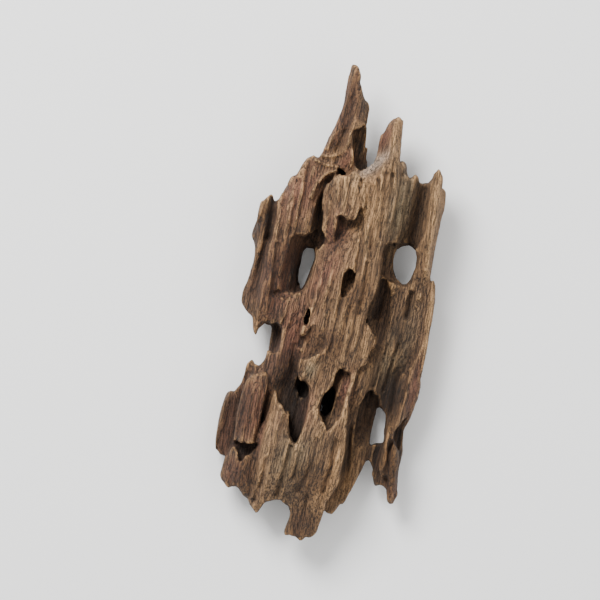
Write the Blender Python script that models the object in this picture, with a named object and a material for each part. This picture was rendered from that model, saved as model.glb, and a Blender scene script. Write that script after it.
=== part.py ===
"""Dragon wood: one weathered, bored-out piece of aquarium hardwood, lying on its back.

+Y runs along the grain towards the two spikes, +X to the right, and +Z up, out of the fluted front.
The origin is on the floor, under the middle of the piece.

The wood is worked out as a field: a number for each point of a grid, negative inside the wood. Each stave
is an outline seen from above, with its own height map for the top and a shared one for the back. The staves
are joined, the hollows are cut out of them, the grain roughens what is left, and the surface where the field
is zero becomes the mesh. Places are in millimetres, and the mesh is scaled to metres when it is made.
"""

import bmesh
import bpy
import numpy as np

MM = 0.001

# Driving dimensions
LENGTH = 150.0
WIDTH = 72.8
HEIGHT = 28.0

# Grid and mesh
STEP = 0.85
MARGIN = 3.0
TRIANGLES = 11300

# Edges and joins, as rounding radii
EDGE = 1.1
JOIN = 1.2
LIP = 0.8

# Grain: the relief that is left when soft wood weathers out between harder fibres
FLUTE_PITCH, FLUTE_LENGTH, FLUTE_DEPTH = 3.2, 28.0, 0.4
FIBRE_PITCH, FIBRE_LENGTH, FIBRE_DEPTH = 1.7, 12.0, 0.22
CHECK_PITCH, CHECK_LENGTH, CHECK_WIDTH, CHECK_DEPTH = 3.0, 30.0, 0.25, 0.4
SPLINTER_PITCH, SPLINTER_LENGTH = 1.4, 0.9
STIFF_ALONG = 0.5

# Where three fibres run, left, middle and right: x at each of the heights in GRAIN_Y
GRAIN_Y = (-75, -45, -20, 5, 25, 50, 75)
FIBRES = {
    -30: (-40, -34.5, -29.5, -25, -21, -14.5, -7),
    0: (-13, -6.5, -0.5, 6.5, 11, 16, 21),
    30: (14, 20, 26, 30.5, 33.5, 37, 40),
}

# The back: places (x, y, z) that the underside passes through
BACK = [
    (0, 0, 2.0), (3, 40, 2.0), (4, 26, 1.8), (-18, -45, 1.6), (23, -20, 1.8), (-5, -25, 2.0), (10, 18, 2.2),
    (-28, 0, 7.0), (-22, 15, 5.0), (-14, 12, 2.2), (-15, -12, 2.0), (-22, 30, 9.0), (-14, 33, 6.5),
    (-8, 40, 7.5), (-2, 46, 8.5), (4, 55, 9.0), (7, 66, 11.0), (7, 75, 12.5), (11, 60, 10.5),
    (18, 45, 6.0), (20, 56, 10.5), (24, 42, 7.0), (35, 38, 9.5), (36, 28, 8.5), (33, 10, 7.0),
    (26, 12, 3.0), (33, -2, 6.5), (31, -14, 5.5), (27, -32, 5.5), (23, -42, 5.0), (19, -62, 6.5),
    (15, -50, 3.5), (12, -35, 2.0), (0, -45, 1.4), (0, -66, 5.0), (10, -50, 3.0), (-8, -60, 4.0),
    (-10, -75, 8.5), (-24, -64, 7.5), (-34, -56, 7.0), (-30, -45, 2.5), (-36, -44, 3.5), (-31, -30, 4.0),
    (-25, -20, 5.5), (-21, -9, 5.0),
]

# The low spots that carry it: x, y, and half the width and half the length of the swelling
FEET = [(-18, -44, 5.0, 13.0), (23.0, -19, 4.6, 12.0), (3.5, 36, 4.8, 13.0)]
FOOT_DROP = 0.7

# Long troughs in the back, weathered in: a line of places, half the width, and the depth
BACK_TROUGHS = [
    ([(-9, 44), (-13, 26), (-17, 4)], 2.6, 2.0),
    ([(13, 44), (13, 20), (9, -6), (4, -30)], 3.4, 4.2),
    ([(-2, 10), (-7, -6), (-12, -28), (-14, -44)], 2.6, 2.6),
    ([(21, 34), (21, 14), (17, -8)], 2.2, 2.6),
    ([(28, 2), (26, -14), (20, -34), (17, -54)], 2.4, 2.6),
    ([(-3, -34), (-6, -52), (-9, -72)], 3.0, 3.2),
    ([(-24, -24), (-28, -44), (-30, -58)], 2.2, 2.2),
    ([(6, 72), (3, 54), (0, 44)], 1.8, 1.6),
]


def grid_axes(step):
    """The x, y and z of a grid that holds the whole piece, shaped so that they broadcast together."""
    reach = (WIDTH / 2 + MARGIN, LENGTH / 2 + MARGIN)
    x = np.arange(-reach[0], reach[0] + step, step)
    y = np.arange(-reach[1], reach[1] + step, step)
    z = np.arange(-MARGIN, HEIGHT + MARGIN, step)
    return x[:, None, None], y[None, :, None], z[None, None, :]


def smooth_closed(points, runs_a_side=4):
    """The corners of short straight runs along a smooth closed curve through the points."""
    here = np.array(points, float)
    before, after, beyond = (np.roll(here, shift, 0) for shift in (1, -1, -2))
    corners = []
    for t in np.arange(runs_a_side) / runs_a_side:
        bend = (2 * before - 5 * here + 4 * after - beyond) * t**2
        swing = (3 * here - before - 3 * after + beyond) * t**3
        corners.append(0.5 * (2 * here + (after - before) * t + bend + swing))
    return np.stack(corners, 1).reshape(-1, 2)


def run_distance_squared(x, y, start, end):
    """The squared distance from each (x, y) to one straight run."""
    dx, dy = end[0] - start[0], end[1] - start[1]
    t = np.clip(((x - start[0]) * dx + (y - start[1]) * dy) / (dx * dx + dy * dy), 0, 1)
    return (x - start[0] - t * dx) ** 2 + (y - start[1] - t * dy) ** 2


def outline_distance(points, x, y):
    """The distance from each (x, y) to a closed outline, negative inside it."""
    starts = smooth_closed(points)
    nearest = np.full(np.broadcast(x, y).shape, np.inf)
    inside = np.zeros(nearest.shape, bool)
    for start, end in zip(starts, np.roll(starts, -1, 0)):
        nearest = np.minimum(nearest, run_distance_squared(x, y, start, end))
        if end[1] != start[1]:
            crossing = start[0] + (y - start[1]) * (end[0] - start[0]) / (end[1] - start[1])
            inside ^= ((start[1] > y) != (end[1] > y)) & (x < crossing)
    return np.where(inside, -1, 1) * np.sqrt(nearest)


def line_distance(points, x, y):
    """The distance from each (x, y) to an open line."""
    runs = zip(points[:-1], points[1:])
    return np.sqrt(np.min([run_distance_squared(x, y, start, end) for start, end in runs], axis=0))


def soft_max(a, b, radius):
    """The larger of two fields, with the edge between them rounded."""
    share = np.clip(0.5 + 0.5 * (a - b) / radius, 0, 1)
    return b + (a - b) * share + radius * share * (1 - share)


def soft_min(a, b, radius):
    """The smaller of two fields, with the corner between them filled."""
    return -soft_max(-a, -b, radius)


def noise(x, y, z, seed):
    """Smooth random values from -1 to 1, with swellings about one unit apart."""
    cells = 32
    table = np.random.default_rng(seed).uniform(-1, 1, (cells,) * 3)
    low = [np.floor(a).astype(int) for a in (x, y, z)]
    share = [a - b for a, b in zip((x, y, z), low)]
    ease = [s * s * (3 - 2 * s) for s in share]
    total = 0
    for corner in np.ndindex(2, 2, 2):
        weight = 1
        for side, e in zip(corner, ease):
            weight = weight * (e if side else 1 - e)
        total = total + weight * table[tuple((b + side) % cells for b, side in zip(low, corner))]
    return total


def across_grain(x, y):
    """How far each (x, y) lies across the grain: it stays the same along a fibre."""
    left, middle, right = (np.polyval(np.polyfit(GRAIN_Y, line, 4), y) for line in FIBRES.values())
    on_left = (x - middle) / (middle - left)
    on_right = (x - middle) / (right - middle)
    return 30 * np.where(x < middle, on_left, on_right)


def bending(square):
    """How a thin sheet bends away from one spot, from the squared distance to it."""
    return square * np.log(square + 1e-9)


class Wood:
    """The growing field, with the grid that it is worked out on."""

    def __init__(self, step):
        self.x, self.y, self.z = grid_axes(step)
        self.step = step
        self.u = across_grain(self.x, self.y)
        self.back = self.heights(BACK)
        for line, half_width, depth in BACK_TROUGHS:
            self.back = self.back + depth * np.exp(-((line_distance(line, self.x, self.y) / half_width) ** 2))
        for x, y, half_width, half_length in FEET:
            away = ((self.u - across_grain(x, y)) / half_width) ** 2 + ((self.y - y) / half_length) ** 2
            near = np.exp(-away)
            self.back = self.back * (1 - near) - FOOT_DROP * near
        self.field = None

    def heights(self, spots):
        """The smoothest height map through places (x, y, z), stiffer along the grain than across it."""
        spots = np.array(spots, float)
        at = np.stack([across_grain(spots[:, 0], spots[:, 1]), spots[:, 1] * STIFF_ALONG], 1)
        square = ((at[:, None] - at[None]) ** 2).sum(2)
        tilt = np.column_stack([np.ones(len(at)), at])
        system = np.block([[bending(square), tilt], [tilt.T, np.zeros((3, 3))]])
        weights = np.linalg.solve(system, np.append(spots[:, 2], [0, 0, 0]))
        v = self.y * STIFF_ALONG
        height = weights[-3] + weights[-2] * self.u + weights[-1] * v
        for (spot_u, spot_v), weight in zip(at, weights):
            height = height + weight * bending((self.u - spot_u) ** 2 + (v - spot_v) ** 2)
        return height

    def add_stave(self, outline, top, seed, edge=EDGE, join=JOIN):
        """Joins on a stave: an outline with splintered ends, from the back up to a height map."""
        splinters = SPLINTER_LENGTH * noise(self.u / SPLINTER_PITCH, self.y / 40, 0.5, seed)
        outside = outline_distance(outline, self.x, self.y + splinters)
        above = self.z - self.heights(top)
        below = self.back - self.z
        stave = soft_max(soft_max(outside, above, edge), below, edge)
        self.field = stave if self.field is None else soft_min(self.field, stave, join)

    def cut_hollow(self, outline, floor=None, lip=LIP):
        """Cuts out what an outline holds, down to a floor given at three places or more, or right through."""
        hollow = outline_distance(outline, self.x, self.y) + 0 * self.z
        if floor is not None:
            hollow = soft_max(hollow, self.heights(floor) - self.z, EDGE)
        self.field = soft_max(self.field, -hollow, lip)

    def press(self, line, half_width, depth):
        """Presses a groove into the front along a line, or raises a ridge where the depth is negative."""
        nearness = np.exp(-((line_distance(line, self.x, self.y) / half_width) ** 2))
        front = np.clip((self.z - self.back - 4) / 4, 0, 1)
        self.field = self.field + depth * nearness * front

    def cut_bore(self, points, radius):
        """Cuts a round tunnel along places (x, y, z), as a borer leaves it."""
        nearest = np.inf
        for start, end in zip(points[:-1], points[1:]):
            way = np.subtract(end, start)
            away = [self.x - start[0], self.y - start[1], self.z - start[2]]
            t = np.clip(sum(a * w for a, w in zip(away, way)) / (way @ way), 0, 1)
            nearest = np.minimum(nearest, sum((a - t * w) ** 2 for a, w in zip(away, way)))
        self.field = soft_max(self.field, radius - np.sqrt(nearest), LIP)

    def crack(self, pitch, length, width, depth, seed):
        """Opens narrow checks along the grain, where a slow noise changes sign."""
        sign = noise(self.u / pitch, self.y / length, self.z / (2 * pitch), seed)
        self.field = self.field + depth * np.clip(1 - np.abs(sign) / width, 0, 1)

    def roughen(self, pitch, length, depth, seed):
        """Wears the soft wood away between fibres, all round the piece."""
        self.field = self.field + depth * noise(self.u / pitch, self.y / length, self.z / (1.6 * pitch), seed)


def shape_wood(step):
    """Builds the whole field, stave by stave, on a grid of the given step."""
    wood = Wood(step)

    # The left sheet, with the broken strip at the far left
    wood.add_stave(
        [(-17.2, 31.5), (-17.8, 32), (-18.2, 33), (-18.5, 34), (-19.8, 33), (-20.5, 32.5), (-22, 32),
         (-22.8, 30), (-23.8, 26), (-24.8, 22.5), (-25.2, 20.5), (-24.6, 19), (-24.4, 16), (-24.8, 13),
         (-25.7, 10), (-26.5, 7), (-27.8, 4), (-28.3, 1), (-28, -1.5), (-26.5, -3.5), (-25, -4.5),
         (-24.7, -7), (-24.5, -9.5), (-23.8, -11.2), (-23, -9.5), (-22, -8), (-20.5, -7.3), (-19, -8),
         (-19.6, -12), (-20.3, -15.5), (-20.9, -18), (-22.5, -19.5), (-24, -19.8), (-25.3, -19.2),
         (-26, -22), (-24, -30), (-20, -45), (-10, -50), (0, -40), (5, -25), (8, 0), (6, 12), (3, 19),
         (0, 24), (-6, 26), (-12, 26), (-15, 31)],
        [(-23.6, 27, 15), (-22, 28, 17), (-24.6, 18, 13.5), (-22.5, 18, 15), (-24.5, 10, 13.5),
         (-25.8, 4, 13),
         (-27.5, 0, 12.5), (-24.3, -6, 14.5), (-19.5, 28, 14.5), (-20.5, 20, 15), (-21.5, 10, 15),
         (-18.3, 14, 18), (-19.5, 6, 18), (-21.3, -2, 17), (-17, 24, 17.5), (-16.4, 12, 16.5),
         (-17.5, 3, 16),
         (-15, 2, 16.5), (-15.5, -5, 17), (-10.6, -2, 16.8), (-18.5, -6, 15.5), (-18.8, -17, 14),
         (-11.6, -8, 15.5), (-12.4, -14, 14.5), (-24, -20, 12), (-15, -17, 15), (-12.6, -21, 13),
         (-18.8, -26, 14.2), (-17, -26.6, 12.2), (-15.8, -23.6, 13.6), (-9, 3, 16.5), (-5, 8, 17),
         (0, -5, 17), (0, 14, 15), (0, 22, 14), (-8, 24, 16), (-5, -30, 10), (-11, -32, 8), (-18, -40, 11)],
        seed=11,
    )

    # The fluted lobe at the upper left, and the swirl of ridges between it and the tall spike
    wood.add_stave(
        [(-17.6, 30), (-16.5, 32.5), (-15.5, 35), (-14, 37.5), (-12.8, 39.5), (-10.5, 41), (-9, 43),
         (-7, 45.5), (-5.5, 46.2), (-4.5, 45.5), (-3.5, 45.2), (1, 44), (6, 40), (6, 30), (2, 20.5),
         (-3, 21), (-7, 20.6), (-11, 20.5), (-12.2, 18.5), (-13.5, 13), (-17, 8), (-20, 15)],
        [(-17.2, 30, 16.5), (-14, 35, 16.5), (-10.5, 40, 17.5), (-6.5, 44.5, 17), (-12.5, 31, 19),
         (-8.5, 37, 18.5),
         (-6, 41, 17.5), (-15.5, 24, 18.5), (-11.5, 24, 19), (-9, 28, 18.5), (-7, 23, 17.8), (-6, 29, 17.8),
         (-4.6, 34.5, 17.5), (-3.5, 40, 17), (-1, 43, 17), (-2, 45, 16), (2, 42.5, 16.5), (0, 38, 15),
         (-13, 18, 17.5), (-17, 14, 17.5), (-3, 25, 15.5)],
        seed=12,
    )

    # The tall spike
    wood.add_stave(
        [(-3.5, 45.2), (-2.5, 47), (-1, 49.5), (0, 52), (1.5, 55), (3, 59), (4, 62.5), (4.7, 66), (5.2, 69),
         (5.3, 71), (6, 73.5), (7, 75.4), (8.5, 74), (9.5, 72.5), (9.7, 70.5), (9.3, 69), (9.6, 67),
         (10.3, 65), (11, 63.8), (12, 63.2), (12.4, 61.5), (12, 59), (11.5, 56), (11.2, 53), (11, 49.2),
         (12, 48.7), (11.8, 47), (11.6, 45), (12.2, 43.3), (12, 36), (4, 32), (0, 38), (-3, 42)],
        [(7, 75, 16), (7.5, 70, 17.5), (6, 67, 17), (8.5, 66, 18), (11.5, 62, 15.5), (7, 60, 18),
         (4, 58.5, 16.5), (10.5, 57, 17), (6, 54, 18), (3.5, 52, 16.5), (1, 51, 16.5), (2, 48, 15.8),
         (-1, 48, 16), (5.5, 49.5, 18.5), (4, 46, 17.5), (7, 45, 18.5), (5, 42, 16.5), (10, 50, 18),
         (-2, 45.5, 16), (2, 43, 16.5), (9, 40, 17), (0, 42, 16.5)],
        seed=13, edge=1.8,
    )

    # The front plank, which carries the second spike
    wood.add_stave(
        [(12.5, 42.6), (14, 45), (14.8, 47.5), (15, 49), (15.3, 51), (16, 53), (17.5, 54.3), (18.5, 56),
         (20, 57.3), (21.5, 58.3), (22.4, 58), (22.8, 57), (22.8, 55), (22.6, 52), (22.4, 49), (22.2, 46),
         (22.1, 44.5), (23, 44), (24, 43), (24.3, 42), (24.4, 40.5), (25.5, 40), (26.5, 40.6), (27.3, 40.3),
         (27.6, 39), (27.4, 36), (26.3, 30), (24, 22), (21, 18.2), (17.5, 17.5), (16.5, 13), (16.3, 8),
         (15, 3), (12, -4), (12.5, -8), (14.3, -11), (14, -14), (12.5, -17), (11.5, -20), (8, -21),
         (3, -26), (-3, -28), (-7.5, -27), (-9.8, -25), (-11, -20), (-9.7, -17), (-10, -15), (-8.5, -9),
         (-6.5, -3), (-9, 3.5), (-7.2, 8), (-6, 11.5), (-5.2, 14), (-5.4, 16), (-2, 19), (-1.5, 25),
         (-1, 33), (2, 38.5), (5.5, 39.8), (8, 40.7), (10.5, 41)],
        [(21.3, 57.5, 19.5), (20.2, 54.5, 20.8), (17.6, 53.5, 17.3), (22.3, 50, 19.5), (19.2, 50, 22),
         (16.2, 50, 16.8),
         (18.3, 46, 23), (21.5, 45, 21.5), (15.6, 46.5, 17.5), (15.8, 42, 24), (13.8, 43.6, 18.8),
         (12, 41.3, 21.5),
         (10.8, 39, 24), (23.3, 42.5, 19), (26.8, 38.5, 15.5), (22.5, 38, 20.5),
         (18, 38, 24.5), (25.8, 31, 14.5), (24, 24, 14.5), (22, 29, 19), (19.5, 30, 23), (21, 20, 18),
         (15, 30, 25), (12.5, 32, 25), (9, 35, 25), (3, 34, 23), (0, 30, 20), (4.5, 24, 20),
         (7.5, 23.5, 21), (2.5, 20, 20.5), (-0.5, 19, 18.5), (11.5, 24, 24.5), (15, 21, 24),
         (18.5, 19, 20.5),
         (5, 16, 23), (10.5, 14, 24.5), (15, 12, 22.5), (0, 14, 21), (-4, 14, 17.5), (-5.5, 9, 17.5),
         (-7.5, 4, 17), (-3, 5, 20.5), (2, 5, 23), (7, 4, 24.5), (12, 6, 24), (14.8, 4, 22),
         (-6.3, -2, 18.5),
         (-2, -5, 21), (4, -5, 24), (9, -4, 23.5), (11.5, -5, 21.5), (-8.5, -12, 19), (-4, -11, 20.5),
         (2, -13, 22.5), (8, -12, 23), (13, -11.5, 20.5), (-9.5, -19, 21), (-5.5, -18.3, 21.6),
         (-3, -19, 20.5), (2.5, -19, 21.5), (8, -19, 21), (12, -17.5, 19.5), (-8, -24, 19.5),
         (-3, -25, 18.5)],
        seed=14, edge=0.9, join=0.8,
    )

    # The flap that stands proud of the front plank
    wood.add_stave(
        [(0, 37.5), (-1.5, 36), (-2.3, 34), (-2.6, 30), (-2.5, 26), (-2.8, 22.5), (-1.8, 20.5),
         (-0.6, 18.5),
         (0.5, 17), (1.6, 18.5), (1.6, 21), (1.9, 24), (2.4, 26.8), (3.8, 26.7), (4.7, 25.6), (6.2, 25.4),
         (7.9, 25.6), (8.6, 27.4), (10.4, 28.8), (11.2, 32), (10.8, 36), (9.8, 39.5), (8, 40.8), (7, 41),
         (5.5, 39.8), (3, 40.2), (1.3, 39.2)],
        [(-2, 31, 21.5), (0, 35, 24), (2.5, 37, 26), (7, 38, 26.5), (10, 37, 26), (5, 31, 26.5),
         (9.5, 30, 26),
         (2.4, 28, 25.5), (0, 28, 23), (-1.6, 24, 21.5), (0.6, 22, 22), (5, 27, 26), (8, 27, 25.5),
         (0.4, 18, 20)],
        seed=15, edge=0.7, join=0.5,
    )

    # The rim at the right, with the trough on its inner side
    wood.add_stave(
        [(28.2, 37.8), (29.5, 37.3), (31, 37.5), (32.3, 38.5), (33, 40), (33.5, 41.4), (34.5, 41.4),
         (35.6, 40),
         (35.7, 38), (35.3, 35.7), (36, 35.3), (36.5, 34), (36.4, 32), (36, 29), (35.3, 26), (34.7, 23),
         (33.8, 19), (32.8, 15), (32, 11), (31.5, 8), (31.3, 6.3), (32, 5.8), (33, 5.5), (33.1, 3), (33, 0),
         (30, -5), (25, 0), (19, 3), (13, 6), (13, 14), (14, 22), (17, 32), (20, 39), (24, 40), (27.6, 39)],
        [(20, 30, 14), (25, 36, 14), (28.5, 35, 14), (27.5, 27, 13), (25, 20, 12), (31.5, 36, 16.5),
         (34, 40, 18.5), (33, 33, 20), (35.5, 33.5, 17.5), (31, 29, 18), (32.5, 25, 20.5), (34.6, 24, 17.5),
         (29.3, 19, 18), (31, 17, 20), (33, 16, 17), (28.4, 11, 17.5), (30.5, 10, 18.5), (27, 6.5, 15.5),
         (30, 4.5, 15.5), (32.5, 3, 14), (30, 0, 14), (24, 3.5, 13.5), (19, 7, 13), (20, 14, 12),
         (15, 12, 15)],
        seed=16, edge=1.1,
    )

    # The hollow sheet at the right, which runs down into the right leg
    wood.add_stave(
        [(14, 11), (16.4, 8.3), (17.8, 7.3), (19.2, 5.9), (21, 5), (24, 4.8), (27, 6), (31.3, 6.3),
         (33, 5.5), (33.1, 3), (33, 0), (32.8, -3),
         (32.2, -7), (31.5, -11), (31, -14), (30.3, -17), (29.3, -22), (28.2, -27), (27.2, -31.5),
         (26.5, -34),
         (25.3, -36.5), (24, -39), (23.2, -41.5), (23.2, -45), (23.3, -47.5), (22.8, -50), (22, -53),
         (21.7, -56), (21.8, -59), (22, -61), (21.4, -63), (20.3, -64.4), (18.9, -64.4), (18, -63),
         (17.9, -60.8), (17.3, -59.7), (16, -59), (14.5, -58.8), (13.5, -57), (12.8, -55.5), (12.9, -53.8),
         (12.6, -52.2), (12, -51.3), (11, -51.2), (6, -49), (2, -38), (0, -25), (5, -10), (8, 5)],
        [(15, 5, 12.5), (17.5, 7, 14.5), (19.6, 4.5, 15.5), (22.5, 3.6, 13.5), (26, 4, 15), (31, 3, 14),
         (18, 0, 13), (14, -3, 11.5), (22, 0, 13.5),
         (26, -2, 13.5), (31, -5, 14.5), (15.5, -8, 12), (20, -10, 12.8), (25, -10, 12.8), (30, -12, 14),
         (14, -16, 13), (17, -18, 12.6), (20.5, -18, 12.2), (24.5, -17, 11.5), (28.7, -18, 14),
         (12, -21, 16.5), (9, -25, 18), (15, -25, 12.5), (18.5, -25, 10), (21.8, -25, 9), (27.5, -26, 13),
         (12.5, -26.5, 15), (8, -31, 16.5), (16, -31, 10), (19.5, -31, 8.5), (26.3, -32, 12.5),
         (18.3, -36, 8.5),
         (24.5, -36, 11), (16.5, -42, 9.5), (22.3, -44, 9.5), (15, -48, 9.5), (14, -56, 9.5),
         (16.5, -58, 9.5),
         (22, -53, 10.5), (20, -58, 12), (19.5, -62.5, 11.5), (10, -40, 11.5), (5, -30, 16),
         (12.5, -48, 10), (11.5, -50.5, 9.8),
         (8, -10, 14), (10, 5, 14)],
        seed=17, edge=1.1,
    )

    # The sharp ridge that runs down the right sheet and out along the leg
    wood.add_stave(
        [(31.2, -9.5), (30.6, -13), (29.7, -18), (28.7, -23), (27.7, -29), (26.3, -34), (24.4, -36.5),
         (22, -39.5),
         (20.5, -42.5),
         (20.6, -46), (21.4, -48.5), (21.5, -51), (20.7, -54.5), (20.9, -58.5), (20.8, -62), (20, -63.6),
         (19.2, -62.3), (18.9, -59), (17.9, -56.3), (16.4, -55.4), (15.6, -53.5), (15.9, -49.5), (17, -45),
         (17.9, -41.5), (19.3, -37.5), (20.3, -33), (21.2, -28), (22.4, -24), (24.8, -20.6), (26.8, -17.6),
         (28.6, -14), (30.2, -10.6)],
        [(31, -10, 13.5), (29.2, -14.5, 14.5), (27.6, -17.4, 14.8), (25.7, -20.6, 15), (24.7, -25, 15.5),
         (23.8, -30, 15.8), (29.3, -19, 13.5), (28.3, -24, 13.2), (27, -30, 13), (22.7, -25.5, 12.5),
         (21.3, -30, 12.5), (20.3, -34.5, 13), (22.3, -35, 15.5), (25.5, -34, 13), (19.3, -41, 15.5),
         (18.3, -46, 16.5),
         (17, -52, 16), (20.6, -49, 16.5), (19.8, -54, 14.5), (16.3, -54, 14), (19.8, -58.5, 13),
         (20, -62.5, 12)],
        seed=23, edge=0.9, join=0.7,
    )

    # The back tongue, under the lower plank at the right
    wood.add_stave(
        [(2, -36), (8, -38), (12.6, -41), (12.4, -45), (11, -50.5), (10.2, -53.5), (8.5, -56.5), (7, -59.5),
         (5.8, -61.5), (4.2, -64), (2.5, -66), (1, -67.4), (-0.5, -67.6), (-1.9, -66.8), (-4, -62),
         (-4, -48)],
        [(6.5, -42, 12), (11, -44, 11), (5.8, -50, 11), (9.5, -51, 10.5), (5, -56, 10.5), (2, -61, 10),
         (0, -66, 9.5), (-2, -60, 11), (0, -45, 14)],
        seed=18,
    )

    # The reddish stub at the lower left, and the thin sliver behind it
    wood.add_stave(
        [(-24, -22.2), (-22, -21.9), (-20.5, -22.3), (-19.4, -24), (-19.4, -27), (-20, -31), (-21, -36),
         (-20, -45.5), (-25, -45.4), (-28, -44.9), (-31, -44.4), (-30.5, -41), (-30, -38), (-29.3, -34),
         (-28.5, -30), (-27.6, -27.5), (-26.5, -25)],
        [(-22.5, -22.6, 16.5), (-24, -29, 17.5), (-20.8, -30, 16.2), (-27.2, -29, 15.5), (-25.5, -37, 17.5),
         (-22.4, -38, 16), (-29, -39, 15.5), (-25.5, -44, 17), (-30, -44, 15), (-20.2, -35, 14.5),
         (-19.4, -27, 15.4)],
        seed=19, edge=1.0, join=0.8,
    )
    wood.add_stave(
        [(-31, -49.4), (-33, -48.8), (-34, -49), (-36, -48), (-36.4, -46), (-36.2, -43), (-35.6, -39),
         (-34.5, -34.5), (-32.9, -30), (-32, -28.3), (-29.5, -27), (-28, -24.5), (-26.5, -20.5),
         (-25.3, -19.2),
         (-24, -19.8), (-21, -24), (-22, -36), (-26, -48)],
        [(-25, -20.5, 12), (-27, -25, 10), (-31, -29, 9), (-28.5, -31, 8.5), (-34, -38, 8),
         (-30.7, -38, 7.5),
         (-35.5, -46, 7.5), (-32, -46, 7.5), (-33, -49, 7), (-25, -30, 11)],
        seed=20,
    )

    # The lower plank, with its flake tip, its pale broken left edge and its stump at the bottom
    wood.add_stave(
        [(-17.6, -28.2), (-16.4, -31.3), (-15, -33), (-14.5, -34.3), (-12.9, -35.2), (-13.2, -37),
         (-12.8, -40),
         (-12.6, -42.6), (-11.4, -44.6), (-10, -42.8), (-8.8, -40), (-7.8, -36.5), (-7.2, -33), (-6.8, -30),
         (-7, -27), (-8.3, -24), (-9.5, -20), (-5, -17), (3, -17), (9, -19), (8, -24), (6, -30), (5.4, -38),
         (5.2, -44), (4.6, -49), (3.4, -54), (2.9, -58), (1, -60.5), (-1, -63), (-1.8, -66), (-2.5, -68),
         (-3.5, -71), (-4.5, -73.3), (-6, -74.3), (-8, -74.6), (-10, -75), (-11.5, -74.3), (-13, -74),
         (-14.7, -73.3), (-13.8, -71), (-12.9, -68), (-12.9, -66), (-13.5, -65), (-14.5, -64), (-16, -63.2),
         (-18, -63), (-20, -63.5), (-21.5, -64.5), (-22.7, -66), (-23.6, -66.8), (-24.3, -66),
         (-24.8, -64.5),
         (-25, -62), (-24, -58), (-23.8, -54), (-23.9, -49), (-22.9, -44), (-21.4, -38), (-19.5, -33)],
        [(-17.3, -29.2, 20), (-16.3, -32, 20.5), (-17.2, -35.5, 21), (-18.7, -40, 21.3),
         (-20.7, -46.5, 21.3),
         (-22, -54, 20), (-19.2, -34, 16.3), (-21, -38.5, 15.6), (-23.2, -46, 15.8), (-23.6, -53, 16.5),
         (-14, -40, 21), (-13, -46, 22.5), (-10, -48, 22.5), (-17, -50, 21), (-5.5, -35, 21.5),
         (-4, -42, 23), (-8, -44, 21.5),
         (2.5, -42, 22.5), (4.9, -41, 22.5), (1.5, -50, 22), (4.2, -49, 21.5), (-3, -50, 22.5),
         (-8, -54, 22.5),
         (-16, -57, 20), (-3, -57, 21), (2.6, -56, 20.5), (-8, -58.5, 21), (-20, -60, 18), (-24, -65, 15),
         (-14, -62, 17), (-18, -62, 16.5), (-9, -63, 17.5), (-2, -64, 18), (-9, -69, 16), (-4.5, -70, 15.5),
         (-10, -74.5, 14.5), (-13.5, -73, 13.5), (-5, -26, 19.5), (2, -22, 20), (7, -22, 20),
         (-1, -28, 19.5),
         (5.2, -31, 22), (5, -36, 23), (-6.5, -30, 19), (-23.5, -60, 17)],
        seed=21, edge=0.9, join=0.8,
    )

    # The smooth cheek at the lower left
    wood.add_stave(
        [(-29.5, -45.2), (-31.5, -46), (-33, -49), (-33.8, -50.3), (-34.4, -52), (-35.1, -54), (-35.1, -56),
         (-33.5, -58.1), (-32, -58.8), (-30, -58.5), (-29, -59.8), (-27.7, -61.5), (-26, -63),
         (-24.8, -64.5),
         (-20, -62), (-15, -55), (-17, -44), (-23, -43.5), (-26, -44.6)],
        [(-33.3, -50, 13), (-34.5, -55, 12), (-30.5, -50, 15), (-28, -53, 16.5), (-31, -57, 14),
         (-25, -53, 15.5),
         (-24.3, -47, 14.5), (-27.5, -60, 14.5), (-20, -55, 16), (-25, -62, 14), (-22, -49, 15),
         (-30, -46, 14)],
        seed=22, edge=1.3,
    )

    # Long grooves in the front, and the ridges that swirl into the foot of the tall spike
    wood.press([(-18.1, 35), (-18.4, 27), (-19.8, 20)], 0.9, 4.8)
    wood.press([(-19.6, 21), (-21.4, 15.5), (-23, 9), (-24.2, 2)], 1.0, 1.8)
    wood.press([(-16.8, 18), (-17.2, 10), (-18.6, 2)], 0.8, 1.2)
    wood.press([(-13.8, 36), (-15, 28), (-16.2, 20)], 0.8, 1.2)
    wood.press([(-10.2, 38), (-11.2, 30), (-13, 22)], 0.8, 1.1)
    wood.press([(-7, 42), (-8, 34), (-9.5, 27)], 0.8, 1.1)
    wood.press([(9.8, 26), (10, 18), (8.5, 10)], 0.9, 1.4)
    wood.press([(13.2, 36), (12.8, 24), (12.5, 14)], 0.8, 1.2)
    wood.press([(17.6, 40), (17, 30), (15.8, 20)], 0.8, 1.0)
    wood.press([(22.6, 40), (21.6, 32), (20.4, 24)], 0.8, 1.0)
    wood.press([(18.3, -13.5), (16.2, -19.5), (13.5, -27)], 0.4, 1.3)
    wood.press([(21.8, -13.5), (19.6, -19.5), (17, -28.5)], 0.4, 1.3)
    wood.press([(24.4, -22.6), (23.2, -27), (22.2, -32)], 0.4, 0.7)
    wood.press([(25.8, 2.2), (25, -1.5), (24.3, -5)], 0.9, 2.6)
    wood.press([(28.2, 2), (28, 1)], 0.8, -0.8)
    wood.press([(4.6, 53.5), (3.6, 50.5), (2, 47.6)], 0.8, 1.2)
    wood.press([(7, 64), (6, 58), (5, 54)], 0.8, 1.0)
    wood.press([(-12.5, -46), (-14.5, -54), (-17, -61)], 0.9, 1.5)
    wood.press([(-4.5, -44), (-6, -52), (-10, -60)], 0.9, 1.3)
    wood.press([(1.6, -44), (0.5, -52), (-2.5, -60)], 0.7, 1.2)
    wood.press([(-20.5, -50), (-21.5, -57), (-24, -63)], 0.8, 1.4)
    wood.press([(19, -44.5), (18.6, -49), (17.9, -54)], 0.7, 1.9)
    wood.press([(18.6, -40), (17.4, -46), (16.2, -53)], 0.7, -0.7)
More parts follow.
